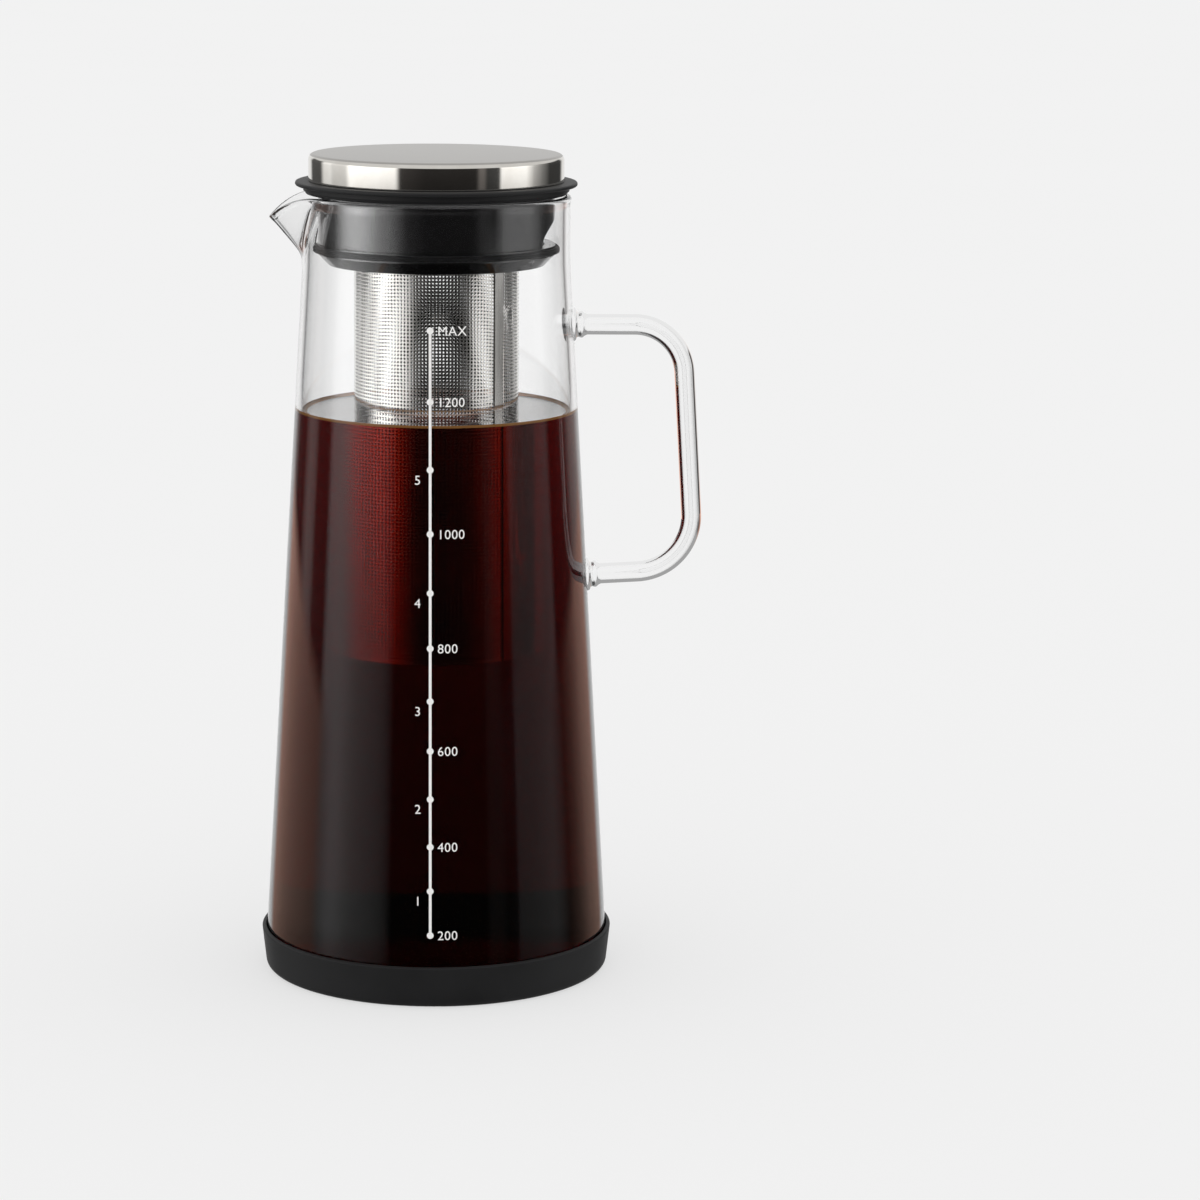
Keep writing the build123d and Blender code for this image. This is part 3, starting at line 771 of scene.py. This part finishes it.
class MAKER_OT_handle(bpy.types.Operator):
    """Bend the glass rod and fuse it on with a gob at each end"""

    bl_idname = "maker.handle"
    bl_label = "Handle"

    def execute(self, context):
        settings = context.scene.maker_handle
        carafe = context.scene.maker_carafe
        rod = self.rod(settings, carafe)
        bore = self.bore(settings, carafe)
        joined = bmesh.new()
        joined.from_mesh(rod.data)
        joined.from_mesh(bore.data)
        joined.to_mesh(rod.data)
        joined.free()
        bpy.data.objects.remove(bore)
        dress(rod, finish(borosilicate_glass), finish(fused_glass))
        for face in rod.data.polygons:
            gap = face.center.x - cone_radius(carafe, face.center.z)
            if abs(face.normal.x) > STEEP and gap < FUSED:
                face.material_index = 1
        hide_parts("glass_handle", "handle_upper_pad", "handle_lower_pad")
        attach(rod, "carafe")
        return {"FINISHED"}

    def path(self, settings, carafe):
        """Points along the rod's middle from the upper joint to the lower one."""
        return rounded([
            (cone_radius(carafe, settings.top), settings.top, 0),
            (settings.top_reach, settings.top, settings.top_bend),
            (settings.foot_reach, settings.foot + settings.foot_rise, settings.foot_bend),
            (cone_radius(carafe, settings.foot), settings.foot, 0),
        ], BEND_STEPS)

    def rod(self, settings, carafe):
        """The rod, swollen at its ends, which lie on the glass's round face."""
        first, *bends, last = self.path(settings, carafe)
        upper = self.run(settings, first, bends[0])
        lower = self.run(settings, last, bends[-1])
        path = upper + bends + lower[::-1]
        swell = [self.swell(settings, (point - upper[0]).length) for point in upper]
        radii = [settings.rod + rise for rise in swell + [0] * len(bends) + swell[::-1]]
        rod = swept("handle_rod", [path[0]] + path + [path[-1]], [0] + radii + [0])
        for vertex in rod.data.vertices:
            point = vertex.co
            wall = cone_radius(carafe, point.z)
            sink = wall - math.sqrt(max(wall * wall - point.y * point.y, 0))
            point.x -= sink * max(0, 1 - max(point.x - wall, 0) / SEAT_REACH)
        return rod

    def run(self, settings, start, towards):
        """Closely set points along the first of a run, over the gob."""
        along = (towards - start).normalized()
        return [
            start + along * (SEAT + settings.gob_length * step / GOB_STEPS) for step in range(GOB_STEPS + 1)
        ]

    def swell(self, settings, away):
        """How far the glass stands over the rod at a distance from the wall."""
        share = away / settings.gob_length
        for (start, low), (stop, high) in zip(GOB, GOB[1:]):
            if share <= stop:
                rise = low + (high - low) * (share - start) / (stop - start)
                return (settings.gob - settings.rod) * rise
        return 0

    def bore(self, settings, carafe):
        """The bore inside the rod, closed at its ends; its faces look inwards."""
        first, *bends, last = self.path(settings, carafe)
        path = [first + (bends[0] - first).normalized() * BORE_START]
        path += bends
        path += [last + (bends[-1] - last).normalized() * BORE_START]
        least, over = BORE_ENDS
        radii = []
        for index in range(len(path)):
            share = least + (1 - least) * min(index, len(path) - 1 - index) / over
            radii.append(settings.bore * min(1, share))
        bore = swept("handle_bore", [path[0]] + path + [path[-1]], [0] + radii + [0])
        bore.data.flip_normals()
        return bore


FILM_EDGE = 0.25 * MM  # above the level, from where the brew on the glass is only a film
MENISCUS_FALL = 1.3  # mm over which the meniscus falls to about a third
MENISCUS_POINTS = (0.12, 0.3, 0.5, 0.7, 0.95, 1.3, 1.7, 2.3, 3.2, 4.5, 7, 12, 20, 30)  # mm from the glass


class MAKER_OT_coffee(bpy.types.Operator):
    """Fill the carafe with cold brew up to its level"""

    bl_idname = "maker.coffee"
    bl_label = "Coffee"

    def execute(self, context):
        settings = context.scene.maker_coffee
        carafe = context.scene.maker_carafe
        inset = carafe.wall - settings.overlap
        floor = glass_low.z + carafe.base - settings.overlap
        heel = carafe.heel - inset
        outline = floor_section(carafe, floor, heel, inset)
        bottom, top = floor + heel, settings.level + FILM_EDGE
        heights = [bottom + (top - bottom) * step / WET_STEPS for step in range(1, WET_STEPS + 1)]
        for height in heights + [settings.level + settings.meniscus]:
            outline.append((cone_radius(carafe, height) - inset, height))
        reach = outline[-1][0]
        for away in MENISCUS_POINTS:
            rise = settings.meniscus * math.exp(-away / MENISCUS_FALL)
            outline.append((reach - away * MM, settings.level + rise))
        outline.append((0, settings.level))
        coffee = turned("cold_brew", [outline] * TURNED_STEPS, SOFT)
        brew = settings.strength, settings.level
        dress(coffee, finish(cold_brew, *brew), finish(brew_film, *brew))
        for face in coffee.data.polygons:
            if face.center.z > top:
                face.material_index = 1
        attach(coffee, "carafe")
        return {"FINISHED"}


MARKS = (  # height of each mark in mm, with the text to its right and to its left
    (199.7, "MAX", ""), (179.1, "1200", ""), (159.4, "", "5"), (140.7, "1000", ""), (123.4, "", "4"),
    (107.2, "800", ""), (91.6, "", "3"), (76.9, "600", ""), (62.6, "", "2"), (48.4, "400", ""),
    (35.2, "", "1"), (22.0, "200", ""),
)
LEFT_DROP = 2.9 * MM  # how far the figures on the left stand below their marks
RIGHT_GAP = 2.1 * MM  # from the line to the figures on the right
LEFT_GAP = 2.7 * MM
PRINT_GAP = 0.01 * MM  # between the glass and the print
LINE_STEPS = 60
DOT_CORNERS = 28
FIGURE_STEPS = 4  # points along each curve of a figure
FIGURE_SPACING = 1.06
FIGURE_MIDDLE = 0.36  # of the figures' size, from their foot to their middle


class MAKER_OT_scale(bpy.types.Operator):
    """Print the volume scale on the front of the glass"""

    bl_idname = "maker.scale"
    bl_label = "Volume Scale"

    def execute(self, context):
        settings = context.scene.maker_scale
        carafe = context.scene.maker_carafe
        points, faces = [], []

        def outline(flat, cuts):
            """Adds a flat shape, given as points (x, z), as two layers with a wall round them."""
            base, count = len(points), len(flat)
            for film in (PRINT_GAP, PRINT_GAP + settings.film):
                points.extend(self.on_glass(carafe, x, z, film) for x, z in flat)
            for cut in cuts:
                faces.append([base + i for i in reversed(cut)])
                faces.append([base + count + i for i in cut])
            edges = {edge: True for cut in cuts for edge in zip(cut, cut[1:] + cut[:1])}
            for a, b in edges:
                if (b, a) not in edges:
                    faces.append([base + a, base + b, base + count + b, base + count + a])

        middle, half = -settings.offset, settings.line / 2
        top, bottom = MARKS[0][0] * MM, MARKS[-1][0] * MM
        strip = []
        for step in range(LINE_STEPS + 1):
            height = bottom + (top - bottom) * step / LINE_STEPS
            strip += [(middle - half, height), (middle + half, height)]
        outline(strip, [[2 * k, 2 * k + 1, 2 * k + 3, 2 * k + 2] for k in range(LINE_STEPS)])
        for height, _, _ in MARKS:
            dot = []
            for corner in range(DOT_CORNERS):
                turn = 2 * math.pi * corner / DOT_CORNERS
                dot.append((
                    middle + settings.dot * math.cos(turn), height * MM + settings.dot * math.sin(turn),
                ))
            outline(dot, [list(range(DOT_CORNERS))])
        for height, right, left in MARKS:
            if right:
                self.figures(settings, right, middle + RIGHT_GAP, height * MM, "LEFT", outline)
            if left:
                self.figures(settings, left, middle - LEFT_GAP, height * MM - LEFT_DROP, "RIGHT", outline)
        scale = mesh_piece("volume_scale", points, faces)
        dress(scale, finish(printed_enamel))
        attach(scale, "carafe")
        return {"FINISHED"}

    def on_glass(self, carafe, x, z, film):
        """The point on the front of the glass at a distance from its middle and at a height."""
        radius = cone_radius(carafe, z)
        around = -math.pi / 2 + x / radius
        return ((radius + film) * math.cos(around), (radius + film) * math.sin(around), z)

    def figures(self, settings, text, x, z, side, outline):
        """Adds a text's flat outline with its middle at a height and its side at a distance."""
        curve = bpy.data.curves.new("figures", "FONT")
        curve.body = text
        curve.size = settings.text
        curve.align_x = side
        curve.space_character = FIGURE_SPACING
        curve.resolution_u = FIGURE_STEPS
        carrier = bpy.data.objects.new("figures", curve)
        bpy.context.scene.collection.objects.link(carrier)
        evaluated = carrier.evaluated_get(bpy.context.evaluated_depsgraph_get())
        mesh = bpy.data.meshes.new_from_object(evaluated)
        lift = settings.text * FIGURE_MIDDLE
        outline(
            [(x + v.co.x, z + v.co.y - lift) for v in mesh.vertices],
            [list(face.vertices) for face in mesh.polygons],
        )
        bpy.data.objects.remove(carrier)
        bpy.data.curves.remove(curve)
        bpy.data.meshes.remove(mesh)


COLLAR_MARGIN = 0.4 * MM  # plain sheet under the collar


class MAKER_OT_filter(bpy.types.Operator):
    """Punch and roll the filter's tube, and finish its seam, cup, rim, collar and seal"""

    bl_idname = "maker.filter"
    bl_label = "Filter"

    def execute(self, context):
        settings = context.scene.maker_filter
        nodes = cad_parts
        columns = round(2 * math.pi * tube_high.x / settings.pitch)
        low, high = tube_low.z + settings.margin, collar_low.z - COLLAR_MARGIN
        rows = int((high - low) / settings.pitch)
        heights = [tube_low.z] + [low + row * settings.pitch for row in range(rows + 1)] + [tube_high.z]
        points = [self.corner(columns, column, height) for height in heights for column in range(columns)]
        faces = []
        for row in range(len(heights) - 1):
            for column in range(columns):
                a, b = row * columns + column, row * columns + (column + 1) % columns
                c, d = b + columns, a + columns
                if row in (0, len(heights) - 2):
                    faces.append((a, b, c, d))
                    continue
                middle = (heights[row] + heights[row + 1]) / 2
                # the hole's corners run from 30 degrees in steps of 60; the cell's from its lower left
                h0, h1, h2, h3, h4, h5 = range(len(points), len(points) + 6)
                for step in range(6):
                    turn = math.pi / 3 * step + math.pi / 6
                    points.append(self.corner(
                        columns,
                        column + 0.5 + settings.hole * math.cos(turn) / settings.pitch,
                        middle + settings.hole * math.sin(turn),
                    ))
                faces += [
                    (a, b, h4), (b, h5, h4), (b, h0, h5), (b, c, h0), (c, h1, h0),
                    (c, d, h1), (d, h2, h1), (d, h3, h2), (d, a, h3), (a, h4, h3),
                ]
        tube = mesh_piece("filter_sheet", points, faces, SOFT)
        dress(tube, finish(rolled_steel))
        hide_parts("filter_tube")
        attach(tube, "filter")
        for name in ("filter_seam", "filter_cup", "filter_rim"):
            dress(nodes[name], finish(rolled_steel))
        dress(nodes["filter_collar"], finish(moulded_plastic))
        dress(nodes["filter_seal"], finish(moulded_silicone))
        return {"FINISHED"}

    def corner(self, columns, column, height):
        """The point on the tube at a column, of so many round it, and at a height."""
        around = 2 * math.pi * column / columns
        return (tube_high.x * math.cos(around), tube_high.x * math.sin(around), height)


CAP_STEPS = 12  # points round an edge of the cap
BRUSHED = 0.3  # brushing, with the top's painted shade, starts at this share of the edge below the top, and of an upward normal
SOFT_EDGE = 0.2 * MM  # radius of the flange's moulded edges
THIN_ROUND = 0.45  # radius of its thin outer edge, as a share of the thickness there


class MAKER_OT_lid(bpy.types.Operator):
    """Press the steel cap, turn the flange, and finish the plug, insert and gasket"""

    bl_idname = "maker.lid"
    bl_label = "Lid"

    def execute(self, context):
        self.cap(context.scene.maker_cap)
        self.flange(context.scene.maker_flange)
        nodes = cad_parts
        for name in ("lid_plug", "cap_insert"):
            dress(nodes[name], finish(moulded_plastic))
        dress(nodes["lid_gasket"], finish(moulded_silicone))
        return {"FINISHED"}

    def cap(self, settings):
        """Presses the cap, polished at its side and brushed on top, where a darker tone is painted shade.
        """
        radius, low, high = cap_high.x, cap_low.z, cap_high.z
        bore = radius - settings.sheet
        outline = rounded([
            (bore, low, settings.hem),
            (radius, low, settings.hem),
            (radius, high, settings.edge),
            (0, high, 0),
            (0, high - settings.sheet, 0),
            (bore, high - settings.sheet, settings.edge - settings.sheet),
        ], CAP_STEPS)
        start = next(i for i, point in enumerate(outline) if point.x < TINY)
        outline = outline[start + 1:] + outline[:start + 1]
        cap = turned("cap_steel", [outline] * LID_STEPS)
        dress(cap, finish(polished_steel), finish(brushed_steel_painted_shade))
        # the top's faces get the brushed steel, whose darker tone is painted shade
        for face in cap.data.polygons:
            if face.center.z > high - settings.edge * BRUSHED and face.normal.z > BRUSHED:
                face.material_index = 1
        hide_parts("lid_cap")
        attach(cap, "lid")

    def flange(self, settings):
        """Turns the moulding under the cap, thin at its edge and thicker where it holds the gasket."""
        radius, top = flange_high.x, flange_high.z - settings.boss_rise
        bottom, bore = flange_low.z + settings.ring_drop, settings.ring - settings.ring_wall
        thin = settings.edge * THIN_ROUND
        outline = rounded([
            (0, top - settings.deck, 0),
            (bore, top - settings.deck, 0),
            (bore, flange_low.z, SOFT_EDGE),
            (settings.ring, flange_low.z, SOFT_EDGE),
            (settings.ring, bottom, 0),
            (settings.groove_in, bottom, SOFT_EDGE),
            (settings.groove_in, bottom + settings.groove, 0),
            (settings.groove_out, bottom + settings.groove, 0),
            (settings.groove_out, bottom, SOFT_EDGE),
            (settings.step, bottom, SOFT_EDGE),
            (settings.step, top - settings.edge, SOFT_EDGE),
            (radius, top - settings.edge, thin),
            (radius, top, thin),
            (settings.boss, top, 0),
            (settings.boss, flange_high.z, SOFT_EDGE),
            (settings.boss - settings.boss_wall, flange_high.z, SOFT_EDGE),
            (settings.boss - settings.boss_wall, top, 0),
            (0, top, 0),
        ])
        flange = turned("flange_moulding", [outline] * LID_STEPS)
        dress(flange, finish(blasted_plastic))
        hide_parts("lid_flange")
        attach(flange, "lid")


# ---------------------------------------------------------------- the stage

FLOOR = ((-14, -9, 0), (14, -9, 0), (14, 22, 0), (-14, 22, 0))  # its corners, in metres
SENSOR = 36  # of the camera, in mm
FARTHEST = 60  # metres, well past the floor's far edge
EVEN = 0.65  # how far the floor, as the camera sees it, is as pale as the backdrop

# The room that glass and steel mirror. Each of its bands is a row of (degrees from the front, to the
# right; brightness), and where it isn't white, a warmth follows.
MILD, WARM = (1.0, 0.93, 0.9), (1.0, 0.62, 0.5)
BREW_LIGHT = 1.7  # how much brighter the room is to the brew, which swallows most of what enters it
FRONT = (
    (-80, 1.0), (-74, 1.0), (-60, 0.62), (-48, 0.45), (-40, 0.34), (-35, 0.18), (-31, 0.02), (34, 0.02),
    (38, 0.08), (47, 0.07), (50, 0.03), (57, 0.05), (59, 0.25),
)
ROOM = {
    # what brushed and polished steel mirror
    "steel": (
        (-180, 0.4), (-159, 0.36), (-148, 0.06), (-127, 0.06), (-121, 0.58), (-110, 0.62), (-107, 0.5),
        (-89, 0.52), (-84, 1.0), (-37, 0.8), (-33, 0.03, MILD), (-10, 0.015, MILD), (36, 0.015, MILD),
        (39, 0.1, MILD), (43, 0.1, MILD), (46, 0.03), (58, 0.04), (60, 0.75), (88, 0.8), (98, 0.34),
        (110, 0.15), (122, 0.03), (146, 0.03), (155, 0.14), (180, 0.14),
    ),
    # what glass mirrors, and the same lower down
    "glass": (
        (-180, 0.5, MILD), (-146, 0.2, MILD), (-142, 0.06, MILD), (-130, 0.04, MILD), (-126, 0.2, MILD),
        (-120, 0.46, MILD), (-113, 0.46, MILD), (-107, 0.07, MILD), (-95, 0.06, MILD), (-89, 0.85),
        *FRONT,
        (97, 0.34), (102, 0.03, MILD), (123, 0.05, MILD), (132, 0.35, MILD), (180, 0.6, MILD),
    ),
    "glass_low": (
        (-180, 0.85, WARM), (-108, 0.8, WARM), (-95, 0.7, WARM), (-88, 0.62),
        *FRONT,
        (90, 0.36), (104, 0.12, WARM), (114, 0.3, WARM), (130, 0.7, WARM), (180, 0.7, WARM),
    ),
    # what is mirrored behind the glass: by the filter, by the plug above it and in the brew below it
    "filter": (
        (-180, 0.45), (-140, 0.5), (-124, 0.6), (-114, 0.72), (-104, 0.78), (-95, 0.66), (-88, 0.6),
        (-80, 0.85), (-74, 1.0), (-50, 1.0), (-44, 0.92), (-39, 0.72), (-33, 0.28), (-28, 0.12),
        (-20, 0.04), (10, 0.03), (28, 0.04), (40, 0.07), (46, 0.13), (51, 0.66), (56, 0.9), (70, 0.95),
        (82, 0.66), (92, 0.18), (108, 0.13), (120, 0.16), (128, 0.22), (140, 0.4), (180, 0.5),
    ),
    "plug": (
        (-180, 0.4), (-140, 0.1), (-126, 0.03), (-114, 0.03), (-104, 0.4), (-96, 1.0), (-84, 1.5),
        (-70, 1.3), (-56, 0.6), (-42, 0.3), (-28, 0.06), (-10, 0.02), (34, 0.02), (44, 0.06), (57, 0.04),
        (66, 0.3), (74, 0.36), (100, 0.32), (112, 0.1), (126, 0.03), (146, 0.08), (180, 0.4),
    ),
    "brew": tuple((degrees, BREW_LIGHT * level) for degrees, level in (
        (-180, 0.36), (-140, 0.42), (-124, 0.68), (-114, 0.92), (-104, 0.97), (-95, 0.9), (-88, 0.88),
        (-78, 1.0), (-70, 0.95), (-62, 0.75), (-54, 0.62), (-47, 0.44), (-40, 0.24), (-32, 0.1),
        (-24, 0.04), (-17, 0.02), (10, 0.0147), (38, 0.03), (51, 0.08), (66, 0.16), (74, 0.3), (80, 0.4),
        (92, 0.26), (112, 0.13), (128, 0.13), (140, 0.16), (180, 0.3),
    )),
    # what is seen straight through the glass, a little darker where its edges bend the view
    "outlook": (
        (-180, 0.888), (-150, 0.888), (-130, 0.7), (-112, 0.6), (-100, 0.888), (100, 0.888), (112, 0.6),
        (130, 0.7), (150, 0.888), (180, 0.888),
    ),
}
# the heights between which one band gives way to another, as the upward share of a direction
PLUG_FROM = (-0.114, -0.108)
BREW_FROM = (-0.138, -0.146)
GLASS_LOW_FROM = (-0.128, -0.14)
EVEN_FROM = ((0.2, 0.3, 0.8), (-0.34, -0.42, 0.35))  # overhead and underfoot, each with its brightness
LIGHT_PEAK = 2.0
LIGHT_LOW = 0.35  # the lights' share of that underfoot
FADE_FROM = -0.25  # the height from which they rise to it, up to the horizon
BACKDROP = (math.radians(148), math.radians(156))  # from the front, where the backdrop begins


class MAKER_OT_stage(bpy.types.Operator):
    """Lay the floor, and set the room's light and the camera"""

    bl_idname = "maker.stage"
    bl_label = "Stage"

    def execute(self, context):
        settings = context.scene.maker_stage
        scene = context.scene
        floor = mesh_piece("studio_floor", FLOOR, [(0, 1, 2, 3)])
        dress(floor, self.paper(settings))
        # glass and steel see the room in its place, which is just as pale behind the maker
        floor.visible_glossy = False
        floor.visible_transmission = False
        self.world(settings)
        camera = bpy.data.cameras.new("studio_camera")
        camera.lens, camera.sensor_width = settings.focal, SENSOR
        camera.clip_end = FARTHEST
        eye = bpy.data.objects.new("studio_camera", camera)
        scene.collection.objects.link(eye)
        eye.matrix_world = self.camera_matrix(settings)
        scene.camera = eye
        scene.view_settings.view_transform = "Standard"
        return {"FINISHED"}

    def camera_matrix(self, settings):
        """Where the camera stands: it looks down, and past the carafe's axis on its right."""
        place = Vector((0, -settings.distance, settings.height))
        yaw = math.atan2(settings.pan, settings.distance * math.cos(settings.pitch))
        look = Matrix.Rotation(-yaw, 4, "Z") @ Matrix.Rotation(math.pi / 2 - settings.pitch, 4, "X")
        return Matrix.Translation(place) @ look @ Matrix.Rotation(settings.roll, 4, "Z")

    def paper(self, settings):
        """Matte white studio paper, with the faintest cloud of its pulp."""
        material, tree = new_material("studio_paper_matte")
        place = add(tree, "ShaderNodeTexCoord")
        cloud = add(tree, "ShaderNodeTexNoise", {"Vector": place.outputs["Object"]}, Scale=3.0, Detail=2.0)
        pale = (*settings.backdrop, 1.0)
        near = (*(0.997 * channel for channel in settings.backdrop), 1.0)
        tone = add(tree, "ShaderNodeValToRGB", {"Fac": cloud}, ((0.3, near), (0.7, pale)))
        paper = add(
            tree, "ShaderNodeBsdfPrincipled", {"Base Color": tone}, Roughness=0.9, Specular_IOR_Level=0.0,
        )
        # to the camera the paper is mostly as pale as the backdrop, so that only a soft shadow is left
        path = add(tree, "ShaderNodeLightPath")
        even = add(
            tree, "ShaderNodeMath", {0: path.outputs["Is Camera Ray"], 1: EVEN}, operation="MULTIPLY",
        )
        glow = add(tree, "ShaderNodeEmission", {"Color": tone}, Strength=1.0)
        shader = add(tree, "ShaderNodeMixShader", {"Fac": even, 1: paper, 2: glow})
        add(tree, "ShaderNodeOutputMaterial", {"Surface": shader})
        return material

    def world(self, settings):
        """Lights matte surfaces evenly, and gives glass and steel a room: a pale backdrop, lights at the
        sides and, between them, behind the camera, the dark."""
        world = bpy.data.worlds.new("studio_room")
        world.use_nodes = True
        tree = world.node_tree
        tree.nodes.clear()
        pale = (*settings.backdrop, 1.0)
        place = add(tree, "ShaderNodeTexCoord")
        axes = add(tree, "ShaderNodeSeparateXYZ", {"Vector": place.outputs["Generated"]})
        upward = axes.outputs["Z"]
        path = add(tree, "ShaderNodeLightPath").outputs

        def climb(start, stop, first, second):
            """Measures the way from one height to another, and changes over it between two colours."""
            reach = add(tree, "ShaderNodeMapRange", {"Value": upward}, From_Min=start, From_Max=stop)
            return add(tree, "ShaderNodeMix", {0: reach, 6: first, 7: second}, data_type="RGBA").outputs[2]

        # the azimuth, from behind the maker by the left and the front, and its share of the whole turn
        ahead = add(tree, "ShaderNodeMath", {0: axes.outputs["Y"], 1: -1.0}, operation="MULTIPLY")
        azimuth = add(tree, "ShaderNodeMath", {0: axes.outputs["X"], 1: ahead}, operation="ARCTAN2")
        share = add(tree, "ShaderNodeMapRange", {"Value": azimuth}, From_Min=-math.pi, From_Max=math.pi)
        bands = {}
        for name, band in ROOM.items():
            stops = []
            for degrees, level, *warmth in band:
                channels = warmth[0] if warmth else (1.0, 1.0, 1.0)
                stops.append(((180 + degrees) / 360, (*(channel * level for channel in channels), 1.0)))
            bands[name] = add(tree, "ShaderNodeValToRGB", {"Fac": share}, stops)
        behind_glass = climb(*PLUG_FROM, bands["filter"], bands["plug"])
        behind_glass = climb(*BREW_FROM, behind_glass, bands["brew"])
        on_glass = climb(*GLASS_LOW_FROM, bands["glass"], bands["glass_low"])
        lights = bands["steel"]
        for ray, band in (("Is Singular Ray", on_glass), ("Is Transmission Ray", behind_glass)):
            lights = add(
                tree, "ShaderNodeMix", {0: path[ray], 6: lights, 7: band}, data_type="RGBA",
            ).outputs[2]
        # the lights fade towards the floor
        fade = add(
            tree, "ShaderNodeMapRange", {"Value": upward},
            From_Min=FADE_FROM, From_Max=0.0, To_Min=LIGHT_LOW * LIGHT_PEAK, To_Max=LIGHT_PEAK,
        )
        faded = add(tree, "ShaderNodeVectorMath", {0: lights, 3: fade}, operation="SCALE")
        from_front = add(tree, "ShaderNodeMath", {0: azimuth}, operation="ABSOLUTE")
        behind = add(
            tree, "ShaderNodeMapRange", {"Value": from_front}, From_Min=BACKDROP[0], From_Max=BACKDROP[1],
        )
        room = add(tree, "ShaderNodeMix", {0: behind, 6: faded, 7: pale}, data_type="RGBA").outputs[2]
        for start, stop, level in EVEN_FROM:
            room = climb(start, stop, room, (level, level, level, 1.0))
        # what is seen straight through the glass, without a mirror on the way, is pale on every side
        outlook = add(
            tree, "ShaderNodeMix", {0: path["Is Camera Ray"], 6: bands["outlook"], 7: pale},
            data_type="RGBA",
        ).outputs[2]
        straight = add(tree, "ShaderNodeMath", {0: path["Glossy Depth"], 1: 0.5}, operation="LESS_THAN")
        room = add(tree, "ShaderNodeMix", {0: straight, 6: room, 7: outlook}, data_type="RGBA").outputs[2]
        # matte surfaces, and all else that isn't mirrored or seen through glass, get plain white light
        bounced = add(
            tree, "ShaderNodeMath", {0: path["Is Glossy Ray"], 1: path["Is Transmission Ray"]},
            operation="ADD",
        )
        seen = add(
            tree, "ShaderNodeMath", {0: bounced, 1: path["Is Camera Ray"]}, operation="ADD", use_clamp=True,
        )
        light = add(tree, "ShaderNodeMix", {0: seen, 6: linear("FFFFFF"), 7: room}, data_type="RGBA")
        lamp = add(tree, "ShaderNodeBackground", {"Color": light.outputs[2]}, Strength=1.0)
        add(tree, "ShaderNodeOutputWorld", {"Surface": lamp})
        bpy.context.scene.world = world


class MAKER_PT_panel(bpy.types.Panel):
    """Lists the maker's operators and settings"""

    bl_label = "Coffee Maker"
    bl_idname = "MAKER_PT_panel"
    bl_space_type = "VIEW_3D"
    bl_region_type = "UI"
    bl_category = "Coffee Maker"

    def draw(self, context):
        for operator in OPERATORS:
            self.layout.operator(operator.bl_idname)
        for name, group in SETTINGS.items():
            box = self.layout.box()
            box.label(text=name.replace("maker_", "").title())
            for field in group.__annotations__:
                box.prop(getattr(context.scene, name), field)


OPERATORS = (
    MAKER_OT_boot,
    MAKER_OT_carafe,
    MAKER_OT_handle,
    MAKER_OT_coffee,
    MAKER_OT_scale,
    MAKER_OT_filter,
    MAKER_OT_lid,
    MAKER_OT_stage,
)


def register():
    for group in SETTINGS.values():
        bpy.utils.register_class(group)
    for operator in OPERATORS:
        bpy.utils.register_class(operator)
    bpy.utils.register_class(MAKER_PT_panel)
    for name, group in SETTINGS.items():
        setattr(bpy.types.Scene, name, bpy.props.PointerProperty(type=group))


def unregister():
    for name in SETTINGS:
        delattr(bpy.types.Scene, name)
    bpy.utils.unregister_class(MAKER_PT_panel)
    for operator in reversed(OPERATORS):
        bpy.utils.unregister_class(operator)
    for group in SETTINGS.values():
        bpy.utils.unregister_class(group)


def main():
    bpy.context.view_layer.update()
    register()
    for operator in OPERATORS:
        group, action = operator.bl_idname.split(".")
        getattr(getattr(bpy.ops, group), action)()


if __name__ == "__main__":
    main()
